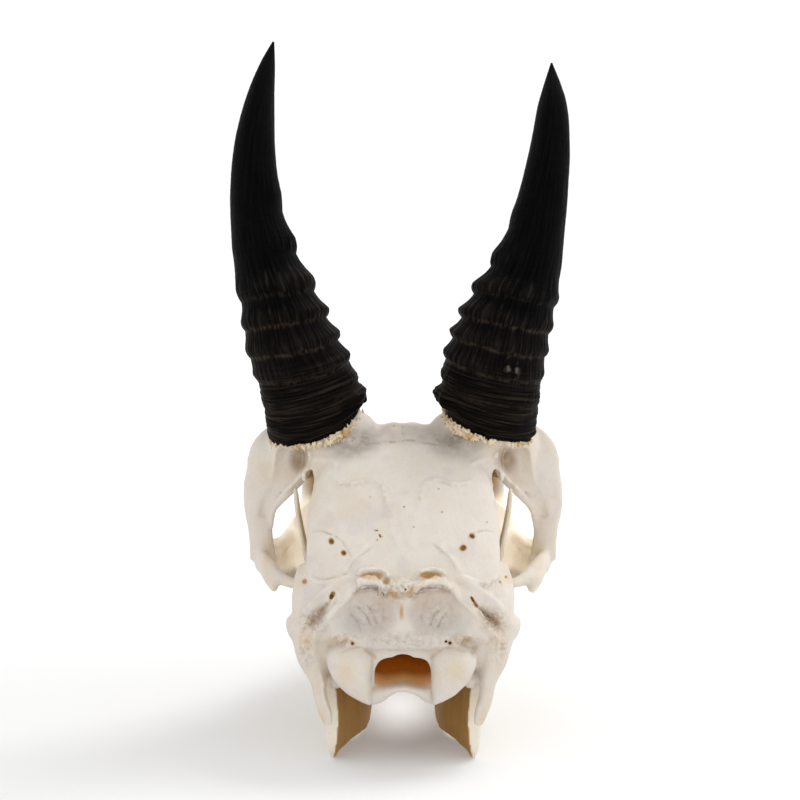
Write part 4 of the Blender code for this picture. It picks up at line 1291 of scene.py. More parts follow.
    def carve(self, made: Piece) -> Skin:
        """Sinks the hollows, raises the crests, draws the seams and roughens the bone."""
        clay = Skin(made)
        for place in self.worn_before:
            clay.wear(place)
        clay.press(self.hollows)
        clay.wear(self.worn_after)
        clay.draw(self.crests)
        clay.relax(np.full(len(clay.points), 1.0), 1)
        waves, crumbs = Grain(11), Grain(12)
        clay.draw(self.seams)
        clay.draw(self.rims, 1.0 + 0.55 * crumbs.at(clay.points, 1.4, 2))
        amount = 0.2 * waves.at(clay.points, 7.0, 2) + 0.05 * crumbs.at(clay.points, 1.6, 2)
        clay.shift(amount + self.roughness_of(clay) * (0.5 * crumbs.at(clay.points, 2.0, 3) - 0.1))
        return clay

    def roughness_of(self, clay: Skin) -> Array:
        """How crumbly the bone is, from 0 to 1."""
        total = np.zeros(len(clay.points))
        for dish in self.crumbly:
            total = np.maximum(total, clay.dish_mask(dish) * dish.depth)
        return total

    def bore(self, made: Piece, clay: Skin) -> list[tuple[Array, Array, float]]:
        """Drills the small holes for nerves and vessels.

        Args:
            made: the cranium.
            clay: its skin, whose depths say where the bone begins.

        Returns:
            The mouth, the way in and the radius of each, for the stains.
        """
        drilled = []
        bm = bmesh.new()
        for hole in self.bores:
            course = np.asarray(hole.points, float)
            if len(course) > 1:
                course = flow(course, 6, keys=2)
            for px, py in course:
                ray = VIEW.ray(px, py)
                start = VIEW.eye + ray * float(clay.depth_at(px, py))
                place = Matrix.Translation(start + ray * (hole.depth / 2 - self.bore_rise))
                turn = Vector(ray).to_track_quat("Z", "Y").to_matrix().to_4x4()
                size = Matrix.Diagonal((hole.radius, hole.radius, hole.depth / 2 + self.bore_spare, 1.0))
                bmesh.ops.create_icosphere(bm, subdivisions=2, radius=1.0, matrix=place @ turn @ size)
                drilled.append((start, ray / np.linalg.norm(ray), hole.radius))
        tool = new_piece("bores", bm)
        fuse(tool, self.bore_voxel, 0)
        combine(made, tool, Joining.CUT)
        return drilled


@dataclass
class BonePainter:
    """Lays the colours of old bone over a piece: grease stains and brown openings, with painted shade in hollows and
    under ledges, painted highlights on ridges and edges, and painted light on the plates under the eyes.
    """

    base: str = "#ddd5cb"
    # Stained places and places of painted shade: one dish or a pair, the colour and its strength
    patches: Sequence[tuple[Any, str, float]] = (
        (Dish(372.5, 576.2, 14, 4.8, edge=0.4), "#c9a05a", 0.95),
        (Dish(430.5, 575.4, 14, 4.4, edge=0.4), "#c9a05a", 0.95),
        (Dish(386.5, 581.5, 5, 5, edge=0.6), "#b8925a", 0.85),
        (Dish(393, 594, 9, 5, turn_deg=38, edge=0.6), "#c59b57", 0.9),
        (Dish(411, 593, 8, 6, turn_deg=-50, edge=0.6), "#c59b57", 0.85),
        (Dish(401.6, 612, 2.4, 12, edge=0.6), "#b8892e", 0.95),
        (pair(Dish(382, 613, 20, 31, edge=0.5)), "#bdafa6", 0.4),
        (pair(Dish(362, 616, 36, 30, edge=0.6)), "#b4aaa5", 0.38),
        (pair(Dish(350, 626, 28, 18)), "#a3a3a8", 0.35),
        (pair(Dish(384, 602, 16, 16)), "#cbb096", 0.4),
        (Dish(403, 641, 56, 14, edge=0.7), "#c9bfb6", 0.6),
        (Dish(317, 616, 20, 10, turn_deg=-48, edge=0.7), "#94795a", 0.9),
        (Dish(491, 618, 21, 11, turn_deg=44, edge=0.7), "#94795a", 0.95),
        # Painted shade: greyer on the forehead between the horns, where the horns shade it
        (Dish(403, 430, 60, 20, edge=0.7), "#b0a59b", 0.8),
        # Grey-brown stain with painted shade, beside the foot of each horn
        (Dish(350, 442, 42, 24, edge=0.8), "#85796c", 0.85),
        (Dish(458, 442, 42, 24, edge=0.8), "#85796c", 0.9),
        # Painted shade: dark brown in the hollow behind each horn's foot
        (pair(Dish(300, 459, 15, 19, turn_deg=14, edge=0.7, reach=30)), "#7c5722", 0.95),
        (pair(Dish(290, 476, 18, 24, turn_deg=30, reach=30)), "#b39a74", 0.4),
        (pair(Dish(268, 556, 10, 26)), "#d0ac74", 0.5),
        (pair(Dish(346, 672, 17, 22), 803), "#d8c6a8", 0.75),
        (pair(Dish(306, 640, 12, 20)), "#d5bd98", 0.7),
        (pair(Dish(342, 640, 20, 9)), "#cbb592", 0.7),
        (Dish(473, 652, 4, 8), "#a18a68", 0.7),
        (Dish(300, 583, 14, 6), "#d9c49f", 0.6),
        (Dish(505, 580, 14, 6), "#d9c49f", 0.6),
        (pair(Dish(320, 716, 9, 18, turn_deg=-12), 804), "#d6bd93", 0.6),
    )
    # Lines that old glue of the sutures and grease left, painted shade under the rims of the nape and along the forked
    # ridges, and painted highlights on the temple edges and the rims: course, half width in pixels, colour and
    # strength
    lines: Sequence[tuple[Rows, float, str, float]] = (
        # Painted shade: greyer in the grooves under the overhanging rims of the nape
        (((354, 593), (359, 589.6), (366, 588), (376, 589), (382, 593), (388, 599)), 3.2, "#a3968f", 0.8),
        (((411, 601), (417, 593), (424, 589.6), (434, 587), (444, 589), (451, 594)), 3.2, "#a3968f", 0.8),
        # Painted highlights: lighter along the free edge behind each horn
        *((stroke.points, 1.7, "#ece4d6", 0.9) for stroke in pair(Stroke(Course.TEMPLE_EDGE, 1.7, 1.0))),
        (Course.BROW_SEAM[2:-1], 1.5, "#a08b76", 0.7),
        (Course.FOREHEAD_SEAM, 1.2, "#a3907c", 0.5),
        (Course.LEFT_SIDE_SEAM[:5], 1.1, "#b49a78", 0.6),
        (Course.LEFT_SIDE_SEAM[4:], 1.1, "#b49a78", 0.6),
        (Course.LEFT_EAR_SEAM, 1, "#bfab8f", 0.55),
        (Course.RIGHT_SIDE_SEAM, 1.1, "#b49a78", 0.6),
        (Course.RIGHT_EAR_SEAM, 1, "#bfab8f", 0.5),
        # Painted shade: darker along the forked ridges of the crown
        (Course.LEFT_BRANCH, 2.2, "#c8b8a2", 0.7),
        (Course.RIGHT_BRANCH, 2.2, "#c8b8a2", 0.7),
        (Course.SCARS[0], 1.1, "#857a76", 0.7),
        (Course.SCARS[1], 1, "#857a76", 0.6),
        (Course.SCARS[2], 1.1, "#857a76", 0.7),
        (Course.SCARS[3], 1, "#857a76", 0.6),
        # Painted highlights: lighter along the thin rims of the nape's pits
        (Course.LEFT_RIM, 1.5, "#f1eade", 0.9),
        (Course.RIGHT_RIM, 1.5, "#f1eade", 0.9),
        (((329, 602), (323, 609), (316, 617), (309, 622)), 2.6, "#8f7656", 0.8),
        (((478, 607), (485, 614), (494, 622), (500, 627)), 2.6, "#8f7656", 0.8),
    )

    def paint(self, clay: Skin, holes: Sequence[tuple[Array, Array, float]] = ()) -> Paint:
        """Works out the colour of each vertex.

        Args:
            clay: the piece's vertices.
            holes: mouth, way in and radius of each small hole.

        Returns:
            The paint for the piece.
        """
        points = clay.points
        blotch, streak = Grain(21), Grain(22)
        paint = Paint(len(points), self.base)
        paint.wash(soft_step(blotch.at(points, 14.0, 3), 0, 0.9), "#d8cdbd", 0.8)
        paint.wash(soft_step(streak.at(points, (5.0, 9.0, 5.0), 3), 0.15, 0.9), "#cfc6c4", 0.5)
        hollow = clay.hollowness(12)
        # Painted shade: darker in the hollows; painted highlight: lighter on the ridges
        paint.wash(soft_step(hollow, 0.05, 0.45), "#b39c7c", 0.6)
        paint.wash(soft_step(-hollow, 0.08, 0.4), "#eae3d8", 0.5)
        broken = 0.75 + 0.25 * blotch.at(points, 3.0, 2)
        for dishes, code, strength in self.patches:
            for dish in dishes if isinstance(dishes, tuple) else (dishes,):
                paint.wash(clay.dish_mask(dish) * broken, code, strength)
        stipple = 0.2 + 0.8 * soft_step(streak.at(points, 1.0, 2), -0.2, 0.5)
        for course, half_wide, code, strength in self.lines:
            paint.wash(clay.stroke_mask(Stroke(course, half_wide, 1.0)) * stipple, code, strength)
        for mouth, inward, radius in holes:
            offset = points - mouth
            deep = offset @ inward
            away = np.linalg.norm(offset - np.outer(deep, inward), axis=1)
            near = soft_fall(np.abs(deep), 3, 5)
            halo = 0.15 + 0.4 * radius
            paint.wash(near * soft_step(-away, -radius - halo, -radius), "#c4a57b", 0.6)
            within = near * soft_step(-away, -radius - 0.15, -radius + 0.1) * soft_step(deep, 0.1, 0.8)
            paint.wash(within, "#a27c4e", 0.95)
        self.paint_inside(points, clay.normals, paint)
        return paint

    def paint_inside(self, points: Array, normals: Array, paint: Paint) -> None:
        """Browns the inside of the great opening, the nose, the throat and the temples, and lays painted light on the
        thin plates under the eyes.
        """
        x, y, z = points.T
        under = along(((9.0, 24.0), (14.0, 25.4), (22.0, 29.2), (32.0, 36.0), (45.0, 43.6)), y)
        inside = soft_step(z - under, -0.5, 0.5) * soft_fall(np.abs(x), 11, 12.5) * soft_fall(z, 50, 52)
        inside *= soft_fall(y, 42, 45)
        inward = y + 0.2 * np.abs(x)
        paint.wash(inside * soft_step(inward, 11.4, 15.6), "#cf9656", 0.95)
        paint.wash(inside * soft_step(inward, 14.8, 18), "#a65d08", 0.97)
        paint.wash(inside * soft_step(inward, 17, 20.4), "#c26802", 1.0)
        nose = soft_step(y, 150, 160) * soft_fall(np.abs(x), 8, 9.4) * soft_step(-normals[:, 1], -0.6, 0.2)
        nose *= between(z, 25, 27, 42, 46)
        paint.wash(nose, "#9c7a4c", 0.6)
        throat = soft_fall(z, 45, 52) * between(y, 58, 64, 140, 150) * soft_fall(np.abs(x), 12.5, 15)
        paint.wash(throat, "#b79a70", 0.6)
        narrowing = 8.0 * soft_fall(z, 60, 68)
        temple = between(y, 44, 56, 86, 92) * between(z, 44, 50, 86, 92)
        temple *= soft_fall(np.abs(x) + narrowing, 30, 34)
        paint.wash(temple, "#c9a970", 0.8)
        # Painted light: near-white on the thin plates under the eyes, lighter than the bone around them
        paint.wash(self.plates(points, normals), "#fff6e4", 0.95)

    @staticmethod
    def plates(points: Array, normals: Array) -> Array:
        """How much each vertex belongs to the sides of the thin plates under the eyes that face up or back, where
        painted light and painted glow go, from 0 to 1.
        """
        x, y, z = points.T
        plate = between(y, 60, 66, 94, 100) * between(z, 48, 52, 72, 76)
        facing = np.maximum(normals[:, 2], -normals[:, 1])
        return plate * soft_step(np.abs(x), 22, 25) * soft_step(facing, 0.1, 0.5)


@dataclass
class HornSheath:
    """A ringed horn sheath: a cone of growth layers, each ring a step that overhangs the one below."""

    side: Side
    course: Rows
    # Picture row of the notch under each ring at the inner side, how far it stands out there, and how much of
    # that goes all the way round
    ring_marks: Rows
    flake_rows: tuple[float, float] = (378.0, 402.0)
    sides: int = quality(296)
    stations: int = quality(330)
    # How much closer the sides stand at the rear than in front
    crowding: float = 0.35
    # How far along, how the growth planes rise towards the middle of the skull and forward
    planes: Rows = (
        (0, 0.25, 0), (0.08, 0.24, 0.07), (0.18, 0.22, 0.04), (0.3, 0.18, -0.1), (0.5, 0.18, -0.2),
        (0.75, 0, -0.36), (1, -0.18, -0.5),
    )
    # How far the growth planes fall towards the rear at the rim
    rim_tip: float = 0.27
    # Where the rim is turned in, from the innermost ring: share of the rim's size, and how far up
    rim_rows: Rows = ((0.5, 2.2), (0.88, 1.4), (0.95, 0.25))
    # Share of the length that is ringed, and the share of the stations that it takes
    ring_share: float = 0.56
    ring_stations: float = 0.78
    # Shares of the length over which the layered foot, the rings and the combed grain fade
    foot_fade: tuple[float, float] = (0.1, 0.2)
    ring_fade: tuple[float, float] = (0.42, 0.6)
    comb_fade: tuple[float, float] = (0.6, 0.97)
    # Radius on which the grain is unrolled, how far the flake stands out and its place round the horn
    unrolled_radius: float = 15.0
    flake_lift: float = 2.9
    flake_turn: float = 0.25
    # A pale worn patch, where the picture shows one
    worn: Dish | None = None

    def build(self) -> Piece:
        """Builds the sheath with its rings, layers, grain, rim and flake."""
        dense = int(self.stations * self.ring_stations)
        ringed = np.linspace(0.0, self.ring_share, dense, endpoint=False)
        share = np.concatenate([ringed, np.linspace(self.ring_share, 1.0, self.stations - dense)])
        fine = flow(self.course, 2001)
        spots = np.linspace(0.0, 1.0, len(fine))
        row = np.column_stack([np.interp(share, spots, column) for column in fine.T])
        length = np.linalg.norm(np.diff(fine[:, :3], axis=0), axis=1).sum()
        planes = flow([(p[0] * 10, 0, 0, p[1], p[2]) for p in self.planes], 400)
        toward = np.interp(share * 10, planes[:, 0], planes[:, 3]) * -self.side.value
        forward = np.interp(share * 10, planes[:, 0], planes[:, 4]) + self.rim_tip * soft_fall(share, 0, 0.14)
        # Grids of station by angle
        s, angle = np.meshgrid(share, self.turns, indexing="ij")
        cos, sin = np.cos(angle), np.sin(angle)
        radius_x, radius_y = row[:, 3][:, None], row[:, 4][:, None]
        round_the_horn = [cos * self.unrolled_radius, sin * self.unrolled_radius, s * length]
        unrolled = np.stack(round_the_horn, axis=-1).reshape(-1, 3)
        wobble, flutes, layers, lumps = (Noise(Grain(seed), unrolled, s.shape) for seed in (31, 32, 33, 34))
        medial_px = self.medial_rows(row, toward)
        marks = np.asarray(self.ring_marks, float)[::-1]
        ring_at = np.interp(marks[:, 0], medial_px[::-1], share[::-1])
        wave = wobble.grid((9.0, 9.0, 14.0), 2) * 0.004
        wave += wobble.grid((2.2, 2.2, 30.0), 1) * 0.0012
        medial = 0.5 - 0.5 * self.side.value * cos
        front = 0.5 + 0.5 * sin
        girdle = np.clip(medial**2.2 + 0.4 * front * medial, 0, 1)
        swell, line = self.rings(s + wave, ring_at, marks[:, 1:], girdle)
        fade = soft_fall(s, *self.ring_fade)
        lift = swell - 0.25 * fade
        comb = flutes.grid((0.8, 0.8, 4.5), 2)
        comb_depth = (0.03 + 0.2 * np.clip(swell / 1.1, 0, 1) * fade) * soft_fall(s, *self.comb_fade)
        band = soft_fall(s, *self.foot_fade)
        growth = layers.grid((9.0, 9.0, 0.8), 3) * (0.03 + 0.24 * band)
        lump = lumps.grid((6.0, 6.0, 6.0), 2) * (0.06 + 0.24 * band)
        lift = lift + comb * comb_depth + growth + lump
        rows_here = medial_px[:, None]
        flake = soft_fall(np.abs(np.arctan2(sin, -self.side.value * cos) + self.flake_turn), 0.2, 0.5)
        high, low = self.flake_rows
        ragged = wobble.grid(2.4, 2)
        flake = flake * soft_step(low + 1.5 * ragged - rows_here, 0, 2) * soft_step(rows_here - high, 0, 14)
        lift = lift + flake * (self.flake_lift + 0.6 * ragged)
        x = row[:, 0][:, None] + (radius_x + lift) * cos
        y = row[:, 1][:, None] + (radius_y + lift) * sin
        z = row[:, 2][:, None] + (radius_x + lift) * cos * toward[:, None] + (radius_y + lift) * sin * forward[:, None]
        hem = np.interp(s, (0.0, 0.03), (1.0, 0.0))
        z = z + hem * (0.7 * wobble.grid((5.0, 5.0, 90.0), 3))
        grid = np.stack([x, y, z], axis=-1)
        rings = self.turned_in(grid[0], row[0]) + list(grid)
        bm = bmesh.new()
        skin(bm, rings)
        made = new_piece("horn_sheath_" + self.side.word, bm)
        self.dress(made, rings, s, unrolled, swell, line, band, comb)
        return made

    @property
    def turns(self) -> Array:
        """The angle of each side."""
        even = np.arange(self.sides) * 2 * math.pi / self.sides
        return even - self.crowding * np.cos(even)

    def medial_rows(self, row: Array, toward: Array) -> Array:
        """Picture row of the medial edge of each station."""
        edge = row[:, :3].copy()
        edge[:, 0] += -self.side.value * row[:, 3]
        edge[:, 2] += -self.side.value * row[:, 3] * toward
        return VIEW.project(edge)[1]

    @staticmethod
    def rings(s: Array, at: Array, marks: Array, girdle: Array) -> tuple[Array, Array]:
        """Swelling of the rings, and the line under each of them.

        Args:
            s: how far along each point of the grid lies.
            at: where the notch under each ring lies, from the base up.
            marks: how far each ring stands out, and how much of that goes all the way round.
            girdle: how much each point has of what does not go all the way round.

        Returns:
            The swelling in millimetres and the line from 0 to 1.
        """
        swell, line = np.zeros_like(s), np.zeros_like(s)
        edges = np.append(at, at[-1] + (at[-1] - at[-2]) * 1.2)
        for number, (height, whole) in enumerate(marks):
            t = (s - edges[number]) / (edges[number + 1] - edges[number])
            under = np.sin(0.5 * math.pi * np.clip(t / 0.36, 0.0, 1.0)) ** 0.8
            flare = np.exp(-((np.clip(t - 0.34, 0.0, None) / 0.34) ** 1.5))
            reach = whole + (1.0 - whole) * girdle
            swell = np.maximum(swell, height * under * flare * reach)
            line = np.maximum(line, soft_step(whole, 0.25, 0.4) * bell(t, 0.02, 0.07))
        return swell, line

    def turned_in(self, rim: Array, base: Array) -> list[Array]:
        """Rings that turn the rim under and close the sheath from below."""
        centre = base[:3]
        return [centre + (rim - centre) * share + (0.0, 0.0, up) for share, up in self.rim_rows]

    def dress(
        self, made: Piece, rings: Sequence[Array], s: Array, unrolled: Array, swell: Array,
        line: Array, band: Array, comb: Array,
    ) -> None:
        """Paints the ring steps, painted highlights on the ring crests and comb ridges, the layered foot and the worn
        patch, and stores how the horn grew.
        """
        extra = (len(rings) - len(s)) * self.sides
        blotch = Grain(35)
        paint = Paint(s.size, "#060607")
        lower = soft_fall(s, 0.2, 0.42).ravel()
        paint.wash(lower * (0.5 + 0.5 * blotch.at(unrolled, 5.0, 3)), "#15110e", 0.8)
        # Painted highlights: lighter colour on the comb ridges of the rings and on the ring crests
        ridge = soft_step(comb.ravel(), 0.1, 0.8) * soft_fall(s, 0.36, 0.5).ravel()
        ridge *= soft_step(swell.ravel(), 0.3, 0.9) * soft_fall(band.ravel(), 0.2, 1)
        crown = soft_step(swell, 0.5, 1.6).ravel() * (0.6 + 0.4 * blotch.at(unrolled, (1.0, 1.0, 5.0), 2))
        paint.wash(crown * soft_fall(s, 0.4, 0.5).ravel(), "#1b1815", 0.8)
        paint.wash(ridge, "#2a2520", 0.7)
        paint.wash(band.ravel(), "#14100d", 0.8)
        edge = line.ravel() * lower * soft_step(blotch.at(unrolled, (1.2, 1.2, 1.0), 2), -0.6, 0.5)
        paint.wash(edge, "#41372c", 0.75)
        if self.worn:
            place = np.asarray(rings[len(rings) - len(s) :]).reshape(-1, 3)
            px, py, _ = VIEW.project(place)
            away = np.hypot((px - self.worn.px) / self.worn.half_wide, (py - self.worn.py) / self.worn.half_high)
            patch = soft_step(1.0 - away, 0, 0.6) * soft_step(-np.tile(np.sin(self.turns), len(s)), 0, 0.3)
            patch *= soft_step(blotch.at(unrolled, 1.6, 3), -0.3, 0.4)
            paint.wash(patch, "#5d574f", 0.8)
        paint.colours = np.vstack([Paint(extra, "#1b140e").colours, paint.colours])
        layered = np.concatenate([np.ones(extra), np.clip(band.ravel() * 0.9 + 0.04, 0, 1)])
        unrolled = np.vstack([np.tile(unrolled[: self.sides], (len(rings) - len(s), 1)), unrolled])
        order = self.matching(made, np.concatenate([np.asarray(ring) for ring in rings]))
        paint.dry_on(made, order)
        growth = made.data.attributes.new("growth", "FLOAT_VECTOR", "POINT")
        growth.data.foreach_set("vector", unrolled[order].astype(np.float32).ravel())
        store(made, "layered", layered[order])

    @staticmethod
    def matching(made: Piece, table: Array) -> Array:
        """For each vertex of the mesh, the number of the ring point that it came from."""
        spots = np.empty(len(made.data.vertices) * 3, np.float32)
        made.data.vertices.foreach_get("co", spots)
        keys = {tuple(key): number for number, key in enumerate(np.round(table.astype(np.float32), 3).tolist())}
        found = [keys.get(tuple(key), 0) for key in np.round(spots.reshape(-1, 3), 3).tolist()]
        return np.asarray(found)


@dataclass
class HornBurr:
    """Crumbly rim of bone that shows under a horn sheath, built of many small grains melted together."""

    side: Side
    # First row of the sheath's course, and how far below it the rim lies
    foot: Row
    drop: float = 0.4
    radius: float = 15.4
    rise: float = 0.25
    tip: float = 0.27
    grains: int = 330
    # One grain in so many falls anywhere between these angles, in degrees
    strays: int = 5
    stray_range: tuple[float, float] = (-40.0, 165.0)
    # From the inner side towards the rear, in degrees: where the grains crowd, and how wide
    crowd: tuple[float, float] = (38.0, 34.0)
    # How far from there the rim is thickest, in degrees
    thickest: float = 50.0
    seed: int = 5

    def build(self) -> Piece:
        """Builds the rim."""
        chance = np.random.default_rng(self.seed)
        bm = bmesh.new()
        for number in range(self.grains):
            lean = chance.normal(*self.crowd) if number % self.strays else chance.uniform(*self.stray_range)
            angle = math.radians(lean)
            cos, sin = -self.side.value * math.cos(angle), -math.sin(angle)
            crowded = float(bell(lean, self.crowd[0], self.thickest))
            low = chance.uniform(-0.5 - 1.7 * crowded, 0.5)
            out = self.radius + chance.normal(0.1 * crowded - 0.5, 0.45) - 0.2 * low
            centre = Vector((
                self.foot[0] + out * cos,
                self.foot[1] + out * sin,
                self.foot[2] - self.drop + low - self.side.value * self.rise * out * cos + self.tip * out * sin,
            ))
            size = chance.uniform(0.22, 0.42 + 0.24 * crowded)
            turn = Matrix.Rotation(chance.uniform(0, 6.28), 4, "Z") @ Matrix.Rotation(chance.normal(0.0, 0.5), 4, "X")
            shape = Matrix.Diagonal((size, size * chance.uniform(0.6, 1.1), size * chance.uniform(1.4, 3.6), 1.0))
            place = Matrix.Translation(centre) @ turn @ shape
            bmesh.ops.create_icosphere(bm, subdivisions=1, radius=1.0, matrix=place)
        made = new_piece("horn_burr_" + self.side.word, bm)
        fuse(made, quality(0.22), 1)
        clay = Skin(made)
        clay.shift(0.16 * Grain(41).at(clay.points, 0.7, 2))
        paint = Paint(len(clay.points), "#e0d0b2")
        paint.wash(soft_step(Grain(42).at(clay.points, 1.6, 2), 0, 0.8), "#b98d4c", 0.8)
        # Painted shade: dark brown in the crevices between the grains
        paint.wash(soft_step(clay.hollowness(6), 0.01, 0.14), "#85551a", 0.85)
        paint.dry_on(made)
        return made


@dataclass
class Mandible:
    """One half of the lower jaw: a bent blade with its knuckle, seen from behind as a tan inner face."""

    side: Side
    voxel: float = quality(0.5)
    blank: float = 4.0
    outline: Rows = (
        (27.6, 50), (26, 42), (20.5, 31), (17.4, 20), (16.6, 10), (18.8, 2.4), (23.5, -1.2), (34, -1.4),
        (46, 0.4), (60, 0.3), (76, -0.6), (90, -1), (104, 0.8), (124, 5.2), (146, 9.6),
        (168, 12.6), (184, 15.2), (188, 18.2), (180, 20.6), (160, 19.4), (142, 19.8),
        (130, 22), (108, 24.6), (86, 26.4), (70, 28.5), (64, 36), (58, 48),
        (53, 61), (49, 75), (44, 83.5), (40, 83), (39.5, 72), (40, 60), (36.5, 52.5),
    )
    # Middle of the blade by y, its lean by z, its half thickness by y and the share left by z
    floor_line: Rows = (
        (10, 23), (22, 22.6), (32, 21), (42, 18.2), (50, 14.9), (58, 13), (70, 12.6), (93, 12.5),
        (125, 11.4), (145, 8.2), (165, 4.6), (190, 3.8),
    )
    lean: Rows = ((0, 0), (25, 1), (47, 6.6), (60, 10.8), (70, 12.8), (76, 13.9), (84, 14.6))
    # How far the tooth row stands out over the floor line, and where the blade turns straight ahead
    row_lean: float = 4.6
    blade_line: float = 20.3
    # How far the rear border bends inwards, half way up to the knuckle
    rear_bulge: float = 0.7
    inner_hollow: float = 0.7
    half_thickness: Rows = (
        (15, 2.4), (22, 2.3), (30, 1.8), (40, 1.7), (58, 2.8), (72, 4.6), (100, 4.8), (130, 4.2), (150, 3.6),
        (190, 3.2),
    )
    thinning: Rows = (
        (-1, 0.25), (1, 0.4), (6, 0.75), (14, 0.95), (30, 1), (40, 0.8), (55, 0.5), (70, 0.36),
        (84, 0.34),
    )
    knuckle: Rows = (
        (24, 31.5, 51.6, 2.4, 2.2), (26.5, 31.2, 52.4, 3.2, 2.8), (31, 31, 52.2, 3.2, 2.8),
        (33.6, 31.2, 51.6, 2.2, 2),
    )
    neck: Rows = ((30, 31, 52, 3.4, 2.6), (29.8, 30, 46, 2.4, 3.6), (29.2, 29.5, 40, 1.6, 4.6))

    def build(self) -> Piece:
        """Bends the flat blank, adds the knuckle, flattens the foot and carves the faces."""
        made = side_plate(closed_curve(self.outline, 420), -self.blank, self.blank)
        fuse(made, self.voxel, 0)
        blade = Skin(made)
        x, y, z = blade.points.T
        half = along(self.half_thickness, y) * along(self.thinning, z)
        middle = along(self.floor_line, y)
        middle += (self.blade_line - middle) * soft_step(z, 34, 60) * soft_fall(y, 60, 70)
        middle -= self.rear_bulge * soft_fall(y, 20, 30) * bell(z, 14, 9)
        middle += along(self.lean, z) + self.row_lean * soft_step(y, 48, 66) * np.clip(z / 26.0, 0.0, 1.0)
        blade.points[:, 0] = (middle + half * x / self.blank) * self.side.value
        blade.measure()
        bm = reopened(made)
        bmesh.ops.recalc_face_normals(bm, faces=bm.faces[:])
        tube(bm, self.knuckle, 24, 24, self.side.value, across=ALONG_Y)
        tube(bm, self.neck, 20, 24, self.side.value)
        made = new_piece("jaw_" + self.side.word, bm)
        fuse(made, self.voxel, 5)
        combine(made, MuzzleCuts().half(self.side), Joining.CROSS)
        combine(made, box_solid(ROOM[0], (*ROOM[1][:2], 0.0)), Joining.CUT)
        clay = Skin(made)
        _, y, z = clay.points.T
        amount = -self.inner_hollow * bell(y, 42, 16) * bell(z, 20, 12) * self.inner_face(clay, 0.2, 0.7)
        amount += 0.14 * Grain(51).at(clay.points, (6.0, 6.0, 14.0), 2)
        amount += 0.03 * Grain(52).at(clay.points, (1.2, 1.2, 8.0), 2)
        clear_of_floor = soft_step(z, 0.3, 1.6)
        clay.shift(amount * clear_of_floor)
        kept = np.clip(0.15 + 0.7 * soft_fall(y, 40, 70), 0, 1)
        lighten(made, quality(70_000), kept)
        self.dress(made)
        return made

    def inner_face(self, clay: Skin, low: float, high: float) -> Array:
        """How much each vertex belongs to the face that looks to the middle, from 0 to 1."""
        return soft_step(-clay.normals[:, 0] * self.side.value, low, high)

    def dress(self, made: Piece) -> None:
        """Paints the cream outer face and edges and the tan inner face, with a painted highlight low on the inner
        face, painted shade in the hollows and painted light on the rear edge.
        """
        clay = Skin(made)
        points = clay.points
        _, y, z = points.T
        inner = self.inner_face(clay, 0.35, 0.75)
        paint = Paint(len(points), "#e2d8c7")
        paint.wash(soft_step(Grain(53).at(points, 12.0, 3), 0, 0.9), "#d6c4a6", 0.6)
        streak = Grain(54).at(points, (2.6, 3.4, 22.0), 3)
        tan = inner * soft_fall(y, 70, 100) * soft_fall(z, 50, 58)
        paint.wash(tan, "#b88945", 0.97)
        paint.wash(tan * soft_step(streak, 0, 0.9), "#8c632b", 0.5)
        paint.wash(tan * soft_step(-streak, 0.1, 0.9), "#bb9150", 0.4)
        # Painted highlight: a lighter golden tan on the lower part of the inner face
        paint.wash(tan * soft_fall(z, 8, 24), "#c49a52", 0.6)
        paint.wash(inner * soft_step(z, 50, 58), "#e6dac0", 0.8)
        # Painted shade: darker in the jaw's hollows
        paint.wash(soft_step(clay.hollowness(10), 0.05, 0.4), "#a5834f", 0.3)
        # Painted light: near-white on the rear edge, lifting the shade that falls there
        painted_light_rear_edge = soft_fall(y, 21, 25) * (1.0 - tan)
        paint.wash(painted_light_rear_edge, "#f3ebdc", 0.9)
        paint.dry_on(made)


